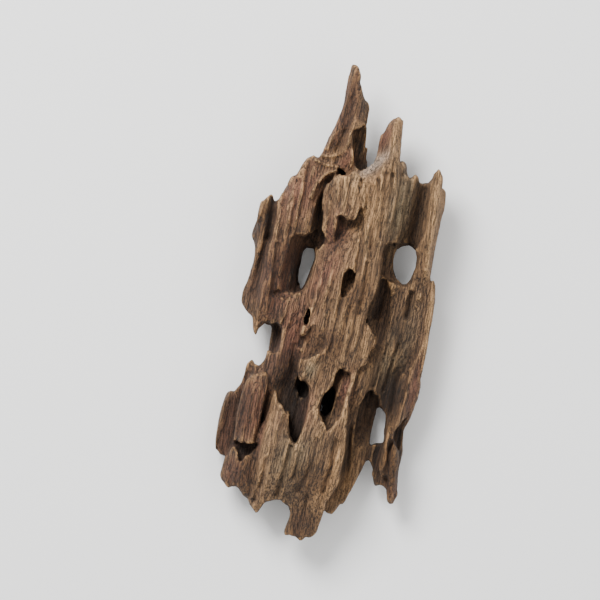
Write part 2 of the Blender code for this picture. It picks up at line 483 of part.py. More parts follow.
    wood.press([(-6.2, 33), (-4.4, 37), (-1.6, 40), (2.6, 41.9)], 0.9, -1.5)
    wood.press([(-4.6, 44.6), (-1.5, 43), (1.8, 42.6)], 0.6, -1.0)
    wood.press([(-2.4, 46), (0.6, 45.8), (3.6, 47), (5.6, 50), (6.4, 53)], 0.7, -1.2)
    wood.press([(-1.2, 48.3), (1.6, 53), (4, 59), (5.8, 66)], 0.8, -0.9)
    wood.press([(-6.3, -2.6), (-8.4, -8), (-9.9, -15)], 0.7, -0.9)
    wood.press([(-11.3, -14), (-12.2, -19), (-11.4, -23)], 0.8, 1.0)
    wood.press([(-19.7, -29.5), (-21.4, -36), (-23.7, -44)], 0.45, 1.4)
    wood.press([(6.2, -40), (5.8, -46), (4.6, -52), (3.6, -57), (1, -62)], 0.8, 1.6)
    wood.press([(0.8, 36), (0.2, 30), (-0.6, 24)], 0.5, 0.6)
    wood.press([(3.6, 38.6), (3.2, 33), (2.4, 28)], 0.5, 0.6)
    wood.press([(6.6, 39.5), (6, 34), (5.4, 28)], 0.5, 0.8)
    wood.press([(9.7, 38), (9.3, 32), (9.3, 27)], 0.5, 1.0)
    wood.press([(15.2, 38), (14.6, 30), (13.6, 22), (12.6, 17)], 0.6, 1.2)
    wood.press([(19.6, 40), (19, 32), (17.8, 24)], 0.6, 1.1)
    wood.press([(2.6, 14), (0.8, 6), (-1.6, -3)], 0.6, 0.9)
    wood.press([(0.6, 0), (-1.4, -8), (-3.4, -16)], 0.5, 0.8)
    wood.press([(3.4, 0), (1.4, -9), (-0.8, -18)], 0.5, 0.9)
    wood.press([(6.2, -2), (4.2, -10), (2.2, -18)], 0.5, 0.8)
    wood.press([(9, 0), (7.2, -9), (5.2, -17)], 0.5, 0.9)
    wood.press([(11.4, -6), (10, -12), (8.4, -18)], 0.5, 0.8)
    wood.press([(11.6, 12), (10.6, 4), (9, -4)], 0.6, 1.2)
    wood.press([(-1, 12), (-2.6, 4), (-4.6, -4)], 0.7, 0.9)
    wood.press([(-9.6, -48), (-11.6, -56)], 0.7, 1.0)
    wood.press([(-7.4, -62), (-8.6, -70)], 0.8, 1.0)

    # The hole at the upper left, and the dark recess that it opens from
    wood.cut_hollow(
        [(-7, 17.3), (-5.5, 16.2), (-5.2, 14), (-6, 11.5), (-7.2, 8), (-8.5, 5), (-9.7, 3.8), (-9.9, 5),
         (-10.3, 7), (-10.2, 10), (-9.6, 12), (-9.1, 14), (-8.4, 16)]
    )
    wood.cut_hollow(
        [(-12.4, 19.5), (-10.5, 20.8), (-8, 20.6), (-6, 21.6), (-4, 22.5), (-2.6, 21.5), (-2.2, 20),
         (-3.6, 18),
         (-5.3, 16.5), (-5.5, 13), (-7.4, 7), (-9, 3.8), (-12, 3.2), (-16.5, 3.8), (-15.2, 8), (-13.6, 13),
         (-12.6, 17)],
        [(-16.4, 5, 16.2), (-14.6, 11, 16), (-12.8, 17, 15.5), (-12.6, 7, 12.5), (-11.4, 13, 12),
         (-10.7, 7, 9.5),
         (-10, 13, 9), (-9, 19.5, 11),
         (-4, 20, 9.5), (-3.4, 22, 10), (-12, 4, 10.5), (-8, 4, 8.5)],
    )

    # The deep troughs on either side of the front plank
    wood.cut_hollow(
        [(-7, 19.5), (-6.7, 22), (-6.2, 25), (-5.4, 28.5), (-4.2, 32), (-2.9, 35), (-1.5, 37.4),
         (-0.8, 37.4),
         (-1.5, 35.8), (-2.2, 33.5), (-2.5, 30), (-2.4, 26), (-2.7, 22.5), (-1.9, 20.5), (-3, 17.5),
         (-6, 16)],
        [(-6.5, 22, 17), (-6, 26, 16.8), (-4.9, 30.5, 16.4), (-1.2, 37, 17), (-2.6, 34.5, 15),
         (-4.2, 21, 12),
         (-3.6, 26, 12.5), (-3.1, 31, 13), (-4, 16.5, 10)], lip=0.6,
    )
    wood.cut_hollow(
        [(26.5, 40), (28, 38.2), (29.6, 37.4), (31.1, 37.3), (31.3, 34), (30.9, 29), (30.1, 25), (29, 20.5),
         (27.6, 17), (25, 16.5), (21, 17), (20.3, 20), (21, 25), (22.2, 30), (23.6, 35), (25, 39)],
        [(29.5, 37.5, 12), (27.6, 37, 14), (25.3, 36, 18), (23.2, 29, 18.5), (21.4, 21, 17.5), (26, 30, 14),
         (24.4, 22, 12.5), (30.3, 30, 10.5), (28.4, 29, 10), (27, 22, 9), (28.4, 20.5, 10), (25, 18, 9)],
    )

    # The hole at the upper right, under the edge of the front plank
    wood.cut_hollow(
        [(22.3, 17.2), (25.3, 17.6), (27, 15.8), (27.2, 14), (26.8, 11), (26, 8.5), (25, 6.3), (24, 5.2),
         (22.6, 5.2), (21.4, 6.5), (20.4, 8), (20.1, 11), (20.2, 13.5), (21, 15.8)]
    )
    wood.cut_hollow(
        [(21, 18), (18, 17.6), (16.8, 14.5), (16.3, 9.5), (16.6, 8.4), (18, 7.6), (19.5, 6.3), (21, 5.6),
         (23, 5.2),
         (26, 8), (27, 13), (25.5, 18)],
        [(17, 14, 11.5), (17.2, 9.5, 12.5), (19.5, 15, 12), (19.8, 8, 12.5), (24, 17, 8), (25.5, 8, 12.5)],
    )
    wood.cut_hollow(
        [(15.9, 6.8), (16.8, 6.9), (17.9, 5.8), (18.7, 4), (18.8, 1), (18.2, -2.5), (16.5, -5.5),
         (13.4, -5.5),
         (13.2, -3.5), (14.7, 0), (15.4, 4)],
        [(15.6, 5, 11.3), (18.3, 4, 12), (15, -2, 10.3), (18.2, -2, 12.3), (14.5, -5.5, 11)], lip=0.5,
    )

    # The window beside the right leg, and the dark recess above it
    wood.cut_hollow(
        [(15.5, -33.8), (17, -35), (17.6, -36), (17.4, -39), (16.8, -42), (16.4, -44.6), (14.5, -45),
         (13, -45.2),
         (13.4, -42), (14.3, -38), (15, -35.2)]
    )
    wood.cut_hollow(
        [(13, -28.3), (11.2, -29.8), (9.6, -33), (8.5, -37), (7.7, -41), (7.3, -46), (7.6, -50),
         (9.5, -51.5),
         (11.4, -49), (12.6, -46), (13.4, -43.5), (14.6, -38), (15.2, -34), (14.8, -30.5)],
        [(12.5, -30, 9), (10, -34, 7.5), (9, -39, 8), (13, -36, 5.5), (12.4, -42, 8), (9.5, -44, 9.6),
         (12, -46.5, 10.4), (9, -50, 12.8)],
    )

    # The dark window in the tall spike, with a thin wall left behind it, and the small hole at its foot
    wood.cut_hollow(
        [(6.9, 53.7), (8, 54.4), (10, 54.8), (12.5, 54.5), (15, 52), (14.5, 46), (12.3, 42.6), (10, 41.4),
         (8.7, 41.6), (7.7, 44), (7.1, 47), (6.7, 50.5)],
        [(7, 53, 12.5), (11, 53, 12), (8, 44, 11.5), (12, 45, 10.5)],
    )
    wood.cut_hollow(
        [(2.4, 41.8), (3.3, 41.4), (5, 40.5), (4.6, 39.8), (3.4, 40.2), (2.6, 40.6)],
        [(2, 41, 9), (5, 41, 9), (4, 39, 9)],
    )

    # The scoop under the flap, and the oval pit
    wood.cut_hollow(
        [(2.4, 24), (2.7, 26.5), (3.8, 26.4), (4.7, 25.4), (6.2, 25.2), (7.8, 25.3), (8.9, 26), (9.8, 23),
         (9.3, 18), (7.5, 12), (3.5, 11), (1.4, 14), (1.9, 18), (2.2, 22)],
        [(3, 25.5, 18.5), (7, 25, 19), (9.3, 23.5, 22.5), (2.8, 21, 19.5), (5, 21, 20.5), (8.3, 19, 23),
         (2.4, 17, 21), (4.4, 17, 22.4), (7, 14.5, 25), (2.4, 13, 24)], lip=0.5,
    )
    wood.cut_hollow(
        [(6.6, 9.9), (5.4, 9.2), (4.2, 7.2), (3.6, 4.5), (3.7, 2.4), (4.5, 1.5), (5.7, 2.1), (6.9, 4.3),
         (7.6, 6.8), (7.6, 9)],
        [(6.3, 8.8, 18), (4.2, 4, 19), (7, 6, 18.6), (5, 2.2, 20.5)],
    )

    # The two deep recesses of the lower plank, the pocket over the cheek, and the bite in the left edge
    wood.cut_hollow(
        [(-15, -25.6), (-12.5, -26.8), (-10.4, -25.6), (-8.4, -25.4), (-6.8, -27.5), (-7, -30),
         (-7.3, -33), (-8, -37),
         (-9, -40), (-10.2, -43), (-11.4, -44.6), (-12.6, -42.8), (-12.9, -39), (-12.9, -35.5),
         (-14.5, -34.2),
         (-15.6, -31), (-17, -28.3)],
        [(-16.4, -27.5, 12.5), (-15, -25.6, 13), (-12.5, -26.5, 12.6), (-10.6, -26, 12), (-15, -32, 10.5),
         (-12.5, -30, 10.5), (-7.4, -32, 15), (-12.5, -38, 10.5), (-8.6, -37, 15), (-11.5, -43.5, 12)],
    )
    wood.cut_hollow(
        [(3, -21.4), (1.6, -23.5), (0.9, -26), (-0.5, -28), (-2.5, -30.5), (-3.4, -33.5), (-2.8, -37),
         (-1.5, -39.5), (-0.5, -40.4), (1, -39), (2.4, -36.5), (3.6, -33), (5, -28), (6.2, -25),
         (5.6, -22.6),
         (4.4, -22.4)],
        [(3.3, -22.5, 15), (4.8, -26, 17.5), (2.5, -26, 16.5), (0.6, -28, 14.5), (-1.5, -33, 12),
         (3.2, -31, 16.5),
         (1.4, -36, 14.5), (-1.8, -37, 14), (-0.6, -39.5, 16)],
    )
    wood.cut_hollow(
        [(-30.3, -44.7), (-29.8, -47), (-29.2, -50), (-28, -50.7), (-26.8, -49), (-25.5, -48.3),
         (-24.3, -46.8),
         (-23.3, -45.4), (-25, -45.2), (-27.5, -45)],
        [(-30, -45, 8.5), (-24, -46, 10), (-28.5, -50, 9.5)], lip=0.5,
    )
    wood.cut_hollow(
        [(-21.5, -7.2), (-19.5, -7), (-17.2, -7.2), (-16, -9), (-16, -12.5), (-17.2, -15.8), (-19.4, -15.6),
         (-20.6, -12), (-22.3, -9)],
        [(-21, -8, 7), (-16.6, -9, 8.5), (-17.8, -15, 9.5)],
    )

    # The round black holes in those recesses, and the scoop above the ragged step
    wood.cut_hollow(
        [(-8.7, -25.2), (-7.5, -26), (-7, -27.7), (-7.4, -30), (-8.6, -30.8), (-10, -30), (-10.4, -27.9),
         (-9.9, -26)],
        [(-9, -25, 3.8), (-8, -30, 4.5), (-10, -28, 4)],
    )
    wood.cut_hollow(
        [(0.4, -27.6), (1.4, -29), (1.3, -31.5), (0.4, -34.3), (-1.4, -35.9), (-3, -35.4), (-3.3, -33),
         (-2.4, -30.4), (-0.8, -28.4)],
        [(0.5, -28, 4), (-2, -35, 5), (1, -32, 4.5)],
    )
    wood.cut_hollow(
        [(-10, -15), (-9.3, -17.2), (-7.8, -18.2), (-5.8, -17.8), (-3.8, -16.4), (-2, -13.4), (-2.6, -8.5),
         (-4.8, -5.5), (-6.4, -8), (-8.2, -11.8)],
        [(-9, -15, 16.3), (-5, -16.3, 16.3), (-2.8, -12, 19), (-6.5, -9, 17.5), (-4.6, -6, 20.5)], lip=0.3,
    )

    # The slits beside it, with a pale lump left between them
    wood.cut_hollow(
        [(-6.9, -2.6), (-6.3, -3.6), (-6.8, -5.6), (-7.6, -7.4), (-8.4, -7.7), (-8.4, -6.4), (-7.7, -4.2)],
        [(-7, -3, 13), (-8, -7, 15), (-6, -5, 13)], lip=0.5,
    )
    wood.press([(-8.2, -8.8), (-9, -10)], 0.9, -1.0)
    wood.press([(-9.1, -11.6), (-9.6, -14)], 0.8, 1.8)

    # Borers' tunnels, which run along the grain between the pits, and out at the back
    wood.cut_bore([(-7.6, -6, 13), (-8.4, -12, 10), (-9.5, -26, 9)], 1.1)
    wood.cut_bore([(-8.8, -27.7, 9), (-7, -20, 8), (-4, -8, 8)], 1.9)
    wood.cut_bore([(-0.6, -31, 10), (1.5, -20, 9), (4, -8, 8.5)], 2.2)
    wood.cut_bore([(12.5, -33, 8), (11, -24, 8), (12, -12, 6.5)], 1.8)
    wood.cut_bore([(-14.2, 2.4, 15.6), (-17.6, 2.8, 15)], 0.8)
    wood.cut_bore([(-10.5, 8, 6), (-13, 0, 5.5), (-14, -12, 5)], 1.6)
    wood.cut_bore([(3, -12, -2), (4, -16, 4), (5, -26, 7)], 1.5)
    wood.cut_bore([(12, 30, -2), (11, 26, 4), (9, 14, 7)], 1.7)
    wood.cut_bore([(-12, -52, -2), (-13, -48, 4), (-13, -38, 4)], 1.4)
    wood.cut_bore([(-20, 22, -2), (-19, 18, 8)], 1.2)

    wood.crack(CHECK_PITCH, CHECK_LENGTH, CHECK_WIDTH, CHECK_DEPTH, seed=30)
    wood.roughen(FLUTE_PITCH, FLUTE_LENGTH, FLUTE_DEPTH, seed=31)
    wood.roughen(FIBRE_PITCH, FIBRE_LENGTH, FIBRE_DEPTH, seed=32)
    return wood


def cell_corners(grid):
    """The eight corners of every cell of the grid, as eight views that line up."""
    places = {}
    for corner in np.ndindex(2, 2, 2):
        places[corner] = tuple(slice(d, n - 1 + d) for d, n in zip(corner, grid.shape))
    return places


def touching_corners(inside):
    """Where two parts of the wood, or of the air, touch only along an edge or at a corner."""
    places = cell_corners(inside)
    total = sum(inside[place].astype(int) for place in places.values())
    wrong = np.zeros(inside.shape, bool)
    for corner, place in places.items():
        here, opposite = inside[place], inside[places[tuple(1 - d for d in corner)]]
        lonely = (here & opposite & (total == 2)) | (~here & ~opposite & (total == 6))
        for other in places.values():
            wrong[other] |= lonely
        for axis in range(3):
            across = [list(corner), list(corner), list(corner)]
            for turned, others in zip(across, ([1, 2], [1], [2])):
                for step in others:
                    turned[(axis + step) % 3] = 1 - corner[(axis + step) % 3]
            far, side, up = (places[tuple(turned)] for turned in across)
            checker = here & inside[far] & ~inside[side] & ~inside[up]
            wrong[side] |= checker
            wrong[up] |= checker
    return wrong & ~inside


def largest_body(inside):
    """Keeps the largest piece and drops the crumbs."""
    label = np.where(inside, np.arange(1, inside.size + 1).reshape(inside.shape), 0)
    while True:
        before = label
        for axis in range(3):
            for shift in (1, -1):
                label = np.where(inside, np.maximum(label, np.roll(label, shift, axis)), 0)
        label = np.where(inside, label.ravel()[np.maximum(label, 1) - 1], 0)
        if (label == before).all():
            break
    names, counts = np.unique(label[inside], return_counts=True)
    return label == names[counts.argmax()]


def surface_of(wood):
    """The corners (in mm) and the four-sided faces of the surface where the field is zero."""
    field = wood.field
    inside = field < 0
    while True:
        wrong = touching_corners(inside)
        if not wrong.any():
            break
        inside = inside | wrong
    inside = ~largest_body(~largest_body(inside))
    field = np.where(inside, np.minimum(field, -0.05), np.maximum(field, 0.05))

    shape = np.array(inside.shape)
    total = np.zeros((*(shape - 1), 3))
    count = np.zeros(shape - 1)
    crossings = []
    for axis in range(3):
        low = tuple(slice(0, n - 1) if a == axis else slice(0, n) for a, n in enumerate(shape))
        high = tuple(slice(1, n) if a == axis else slice(0, n) for a, n in enumerate(shape))
        place = np.argwhere(inside[low] != inside[high])
        near, far = field[low][tuple(place.T)], field[high][tuple(place.T)]
        point = place.astype(float)
        point[:, axis] += near / (near - far)
        first, second = (axis + 1) % 3, (axis + 2) % 3
        ring = []
        for back in ((1, 1), (0, 1), (0, 0), (1, 0)):
            cell = place.copy()
            cell[:, first] -= back[0]
            cell[:, second] -= back[1]
            np.add.at(total, tuple(cell.T), point)
            np.add.at(count, tuple(cell.T), 1)
            ring.append(cell)
        crossings.append((ring, inside[low][tuple(place.T)]))

    used = count > 0
    name = np.full(used.shape, -1)
    name[used] = np.arange(used.sum())
    origin = np.array([wood.x.ravel()[0], wood.y.ravel()[0], wood.z.ravel()[0]])
    points = origin + total[used] / count[used][:, None] * wood.step
    faces = []
    for ring, starts_inside in crossings:
        quads = np.stack([name[tuple(cell.T)] for cell in ring], 1)
        faces.append(np.where(starts_inside[:, None], quads, quads[:, ::-1]))
    return points, np.concatenate(faces)


def remove_scene_objects():
    for thing in list(bpy.data.objects):
        bpy.data.objects.remove(thing, do_unlink=True)


def wood_material():
    material = bpy.data.materials.new("weathered_wood")
    material.use_nodes = True
    surface = material.node_tree.nodes["Principled BSDF"]
    surface.inputs["Base Color"].default_value = (0.168, 0.095, 0.056, 1)
    surface.inputs["Roughness"].default_value = 0.85
    surface.inputs["Metallic"].default_value = 0.0
    return material


def thin_out(thing, triangles):
    """Leaves about so many triangles, with most of them where the shape needs them."""
    modifier = thing.modifiers.new("thin out", "DECIMATE")
    modifier.ratio = triangles / (2 * len(thing.data.polygons))
    modifier.use_collapse_triangulate = True
    graph = bpy.context.evaluated_depsgraph_get()
    mesh = bpy.data.meshes.new_from_object(thing.evaluated_get(graph))
    thing.modifiers.clear()
    thing.data = mesh


def cut_flat_feet(thing):
    """Cuts the low spots off at the floor, which leaves them flat."""
    shape = bmesh.new()
    shape.from_mesh(thing.data)
    everything = shape.verts[:] + shape.edges[:] + shape.faces[:]
    bmesh.ops.bisect_plane(shape, geom=everything, plane_co=(0, 0, 0), plane_no=(0, 0, 1), clear_inner=True)
    open_edges = [edge for edge in shape.edges if edge.is_boundary]
    bmesh.ops.holes_fill(shape, edges=open_edges, sides=0)
    bmesh.ops.triangulate(shape, faces=shape.faces[:])
    bmesh.ops.recalc_face_normals(shape, faces=shape.faces[:])
    shape.to_mesh(thing.data)
    shape.free()


def fit_to_size(thing):
    """Scales the mesh to the driving dimensions and centres it over the origin."""
    corners = np.empty(len(thing.data.vertices) * 3)
    thing.data.vertices.foreach_get("co", corners)
    corners = corners.reshape(-1, 3)
    low, high = corners.min(0), corners.max(0)
    middle = np.array([(low[0] + high[0]) / 2, (low[1] + high[1]) / 2, 0])
    wanted = np.array([WIDTH, LENGTH, HEIGHT]) * MM
    corners = (corners - middle) * wanted / (high - np.array([low[0], low[1], 0]))
    thing.data.vertices.foreach_set("co", corners.ravel())
    thing.data.update()


def make_dragon_wood():
    points, faces = surface_of(shape_wood(STEP))
    mesh = bpy.data.meshes.new("dragon_wood")
    mesh.from_pydata((points * MM).tolist(), [], faces.tolist())
    mesh.validate()
    wood = bpy.data.objects.new("dragon_wood", mesh)
    bpy.context.collection.objects.link(wood)
    thin_out(wood, TRIANGLES)
    cut_flat_feet(wood)
    fit_to_size(wood)
    wood.data.materials.clear()
    wood.data.materials.append(wood_material())


remove_scene_objects()
make_dragon_wood()
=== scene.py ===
# %% [markdown]
# # Dragon wood
#
# A flat piece of weathered hardwood for an aquarium, about 150 mm long. It grew as one piece, so it is one
# solid: the parts that rotted or that borers ate are gone, and the hard fibres between them are left as
# staves, spikes and splinters. It lies on its back, and the camera looks straight down on its fluted front.
#
# Wood like this could be sculpted by hand or scanned. Here it is worked out in code, so that each form is a
# named shape in millimetres that can be moved. The plan is one field of numbers on a grid, negative inside
# the wood. Staves are joined to it, hollows are cut from it, and the surface where it is zero is the mesh.

import bmesh
import bpy
import numpy as np
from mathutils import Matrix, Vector


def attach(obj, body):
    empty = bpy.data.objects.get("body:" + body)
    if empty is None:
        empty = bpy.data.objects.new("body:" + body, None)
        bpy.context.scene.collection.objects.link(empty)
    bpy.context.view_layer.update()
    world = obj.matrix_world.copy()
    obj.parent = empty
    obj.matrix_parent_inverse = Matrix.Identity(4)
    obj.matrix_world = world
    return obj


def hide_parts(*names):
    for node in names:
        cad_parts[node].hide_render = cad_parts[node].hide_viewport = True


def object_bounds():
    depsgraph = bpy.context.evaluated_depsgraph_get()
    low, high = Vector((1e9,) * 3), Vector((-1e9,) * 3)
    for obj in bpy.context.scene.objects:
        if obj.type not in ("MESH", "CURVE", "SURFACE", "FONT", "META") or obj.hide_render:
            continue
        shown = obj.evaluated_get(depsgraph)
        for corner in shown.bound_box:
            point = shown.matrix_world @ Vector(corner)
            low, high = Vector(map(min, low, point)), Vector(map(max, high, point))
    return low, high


METRE = 1000


def sides(low, high, digits=1):
    """The sides of a box in mm, from two opposite corners in metres."""
    return [round(METRE * (b - a), digits) for a, b in zip(low, high)]


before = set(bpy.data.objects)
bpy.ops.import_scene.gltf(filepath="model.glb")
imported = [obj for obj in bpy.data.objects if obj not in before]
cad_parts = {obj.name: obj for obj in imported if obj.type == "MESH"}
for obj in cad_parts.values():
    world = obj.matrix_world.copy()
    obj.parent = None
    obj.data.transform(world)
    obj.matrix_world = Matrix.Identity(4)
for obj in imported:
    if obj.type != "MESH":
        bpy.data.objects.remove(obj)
cad_low, cad_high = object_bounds()
print("The solid model measures", sides(cad_low, cad_high), "mm")

# %% [markdown]
# ## Sizes
#
# Every size is in millimetres and is scaled to metres at the end. The grid is finer than the smallest
# splinter that the picture shows, and a margin keeps the wood clear of its edge. The fitted mesh ends in the
# same box as the solid model.

# %% Sizes
MM = 0.001
WIDTH, LENGTH, HEIGHT = sides(cad_low, cad_high, 2)
STEP = 0.46
MARGIN = 3.0
print("Grid step", STEP, "mm")

# %% [markdown]
# ## Outlines seen from above
#
# Each stave starts as a closed line round it, seen from above. A few chosen points keep the line easy to
# change, and a smooth curve through them gives it the soft corners of worn wood. What the field needs is the
# distance to that line, negative inside it.

# %% Outlines
def grid_axes(step):
    """The x, y and z of a grid that holds the whole piece, shaped so that they broadcast together."""
    reach = (WIDTH / 2 + MARGIN, LENGTH / 2 + MARGIN)
    x = np.arange(-reach[0], reach[0] + step, step)
    y = np.arange(-reach[1], reach[1] + step, step)
    z = np.arange(-MARGIN, HEIGHT + MARGIN, step)
    return x[:, None, None], y[None, :, None], z[None, None, :]


def smooth_closed(points, runs_a_side=4):
    """The corners of short straight runs along a smooth closed curve through the points."""
    here = np.array(points, float)
    before, after, beyond = (np.roll(here, shift, 0) for shift in (1, -1, -2))
    corners = []
    for t in np.arange(runs_a_side) / runs_a_side:
        bend = (2 * before - 5 * here + 4 * after - beyond) * t**2
        swing = (3 * here - before - 3 * after + beyond) * t**3
        corners.append(0.5 * (2 * here + (after - before) * t + bend + swing))
    return np.stack(corners, 1).reshape(-1, 2)


def run_distance_squared(x, y, start, end):
    """The squared distance from each (x, y) to one straight run."""
    dx, dy = end[0] - start[0], end[1] - start[1]
    t = np.clip(((x - start[0]) * dx + (y - start[1]) * dy) / (dx * dx + dy * dy), 0, 1)
    return (x - start[0] - t * dx) ** 2 + (y - start[1] - t * dy) ** 2


def outline_distance(points, x, y):
    """The distance from each (x, y) to a closed outline, negative inside it."""
    starts = smooth_closed(points)
    nearest = np.full(np.broadcast(x, y).shape, np.inf)
    inside = np.zeros(nearest.shape, bool)
    for start, end in zip(starts, np.roll(starts, -1, 0)):
        nearest = np.minimum(nearest, run_distance_squared(x, y, start, end))
        if end[1] != start[1]:
            crossing = start[0] + (y - start[1]) * (end[0] - start[0]) / (end[1] - start[1])
            inside ^= ((start[1] > y) != (end[1] > y)) & (x < crossing)
    return np.where(inside, -1, 1) * np.sqrt(nearest)


def line_distance(points, x, y):
    """The distance from each (x, y) to an open line."""
    runs = zip(points[:-1], points[1:])
    return np.sqrt(np.min([run_distance_squared(x, y, start, end) for start, end in runs], axis=0))

# %% [markdown]
# ## Joining and cutting
#
# A plain maximum or minimum of two fields leaves a knife edge where they meet. These two round the edge or
# fill the corner by a radius, as weather does.

# %% Joining and cutting
def soft_max(a, b, radius):
    """The larger of two fields, with the edge between them rounded."""
    share = np.clip(0.5 + 0.5 * (a - b) / radius, 0, 1)
    return b + (a - b) * share + radius * share * (1 - share)


def soft_min(a, b, radius):
    """The smaller of two fields, with the corner between them filled."""
    return -soft_max(-a, -b, radius)

# %% [markdown]
# ## Chance
#
# Grain is regular at heart and uneven in detail. The unevenness is value noise: random numbers at the
# corners of a lattice, eased from one to the next. The seed keeps it the same in every run.

# %% Chance
def noise(x, y, z, seed):
    """Smooth random values from -1 to 1, with swellings about one unit apart."""
    cells = 32
    table = np.random.default_rng(seed).uniform(-1, 1, (cells,) * 3)
    low = [np.floor(a).astype(int) for a in (x, y, z)]
    share = [a - b for a, b in zip((x, y, z), low)]
    ease = [s * s * (3 - 2 * s) for s in share]
    total = 0
    for corner in np.ndindex(2, 2, 2):
        weight = 1
        for side, e in zip(corner, ease):
            weight = weight * (e if side else 1 - e)
        total = total + weight * table[tuple((b + side) % cells for b, side in zip(low, corner))]
    return total

# %% [markdown]
# ## The grain
#
# Fibres lean to the right as they rise, by 7 to 17 degrees. Three of them are drawn, as the x where each one
# passes a few heights in the picture. They count as 30 mm apart, and the rest lie between them. A
# place's number across the grain stays the same along a fibre, so any pattern that is stretched along it
# follows the wood.

# %% The grain
GRAIN_Y = (-75, -45, -20, 5, 25, 50, 75)
LEFT_FIBRE = (-40, -34.5, -29.5, -25, -21, -14.5, -7)
MIDDLE_FIBRE = (-13, -6.5, -0.5, 6.5, 11, 16, 21)
RIGHT_FIBRE = (14, 20, 26, 30.5, 33.5, 37, 40)
FIBRE_GAP = 30
CURVE_DEGREE = 4


def across_grain(x, y):
    """How far each (x, y) lies across the grain: it stays the same along a fibre."""
    curves = [np.polyfit(GRAIN_Y, fibre, CURVE_DEGREE) for fibre in (LEFT_FIBRE, MIDDLE_FIBRE, RIGHT_FIBRE)]
    left, middle, right = (np.polyval(curve, y) for curve in curves)
    on_left = (x - middle) / (middle - left)
    on_right = (x - middle) / (right - middle)
    return FIBRE_GAP * np.where(x < middle, on_left, on_right)

# %% [markdown]
# ## The back
#
# The back isn't seen in the picture. It is drawn as the same wood: a height map through a few places (x, y,
# z), long troughs with the grain, and three low spots that carry the piece. A trough is a line, half its
# width and its depth, and a foot is its place, half its width and half its length.

# %% The back
BACK = [
    (0, 0, 2.0), (3, 40, 2.0), (4, 26, 1.8), (-18, -45, 1.6), (23, -20, 1.8), (-5, -25, 2.0), (10, 18, 2.2),
    (-28, 0, 7.0), (-22, 15, 5.0), (-14, 12, 2.2), (-15, -12, 2.0), (-22, 30, 9.0), (-14, 33, 6.5),
    (-8, 40, 7.5), (-2, 46, 8.5), (4, 55, 9.0), (7, 66, 11.0), (7, 75, 12.5), (11, 60, 10.5), (18, 45, 6.0),
    (20, 56, 10.5), (24, 42, 7.0), (35, 38, 9.5), (36, 28, 8.5), (33, 10, 7.0), (26, 12, 3.0),
    (33, -2, 6.5), (31, -14, 5.5), (27, -32, 5.5), (23, -42, 5.0), (19, -62, 6.5), (15, -50, 3.5),
    (12, -35, 2.0), (0, -45, 1.4), (0, -66, 5.0), (10, -50, 3.0), (-8, -60, 4.0), (-10, -75, 8.5),
    (-24, -64, 7.5), (-34, -56, 7.0), (-30, -45, 2.5), (-36, -44, 3.5), (-31, -30, 4.0), (-25, -20, 5.5),
    (-21, -9, 5.0),
]
FEET = [(-18, -44, 5.0, 13.0), (23.0, -19, 4.6, 12.0), (3.5, 36, 4.8, 13.0)]
FOOT_DROP = 0.7
BACK_TROUGHS = [
    ([(-9, 44), (-13, 26), (-17, 4)], 2.6, 2.0),
    ([(13, 44), (13, 20), (9, -6), (4, -30)], 3.4, 4.2),
    ([(-2, 10), (-7, -6), (-12, -28), (-14, -44)], 2.6, 2.6),
    ([(21, 34), (21, 14), (17, -8)], 2.2, 2.6),
    ([(28, 2), (26, -14), (20, -34), (17, -54)], 2.4, 2.6),
    ([(-3, -34), (-6, -52), (-9, -72)], 3.0, 3.2),
    ([(-24, -24), (-28, -44), (-30, -58)], 2.2, 2.2),
    ([(6, 72), (3, 54), (0, 44)], 1.8, 1.6),
]

# %% [markdown]
# ## The field
#
# The field starts empty. A height map through a few measured places gives each stave its top. It bends like
# a thin sheet, stiffer along the grain than across it, because the fibres carry on where the rot stopped.
# The values here say how far edges, joins and lips are rounded, how coarse the splintered ends are, how far
# above the back a groove starts to bite, and how thick checks and ridges are for their pitch.

# %% The field
EDGE, JOIN, LIP = 1.1, 1.2, 0.8
STIFF_ALONG = 0.5
SPLINTER_PITCH, SPLINTER_RUN, SPLINTER_LENGTH = 1.4, 40, 0.9
PRESS_FADE = 4
CHECK_THICKNESS, RIDGE_THICKNESS = 2, 1.6
TINY = 1e-9


def bending(square):
    """How a thin sheet bends away from one spot, from the squared distance to it."""
    return square * np.log(square + TINY)


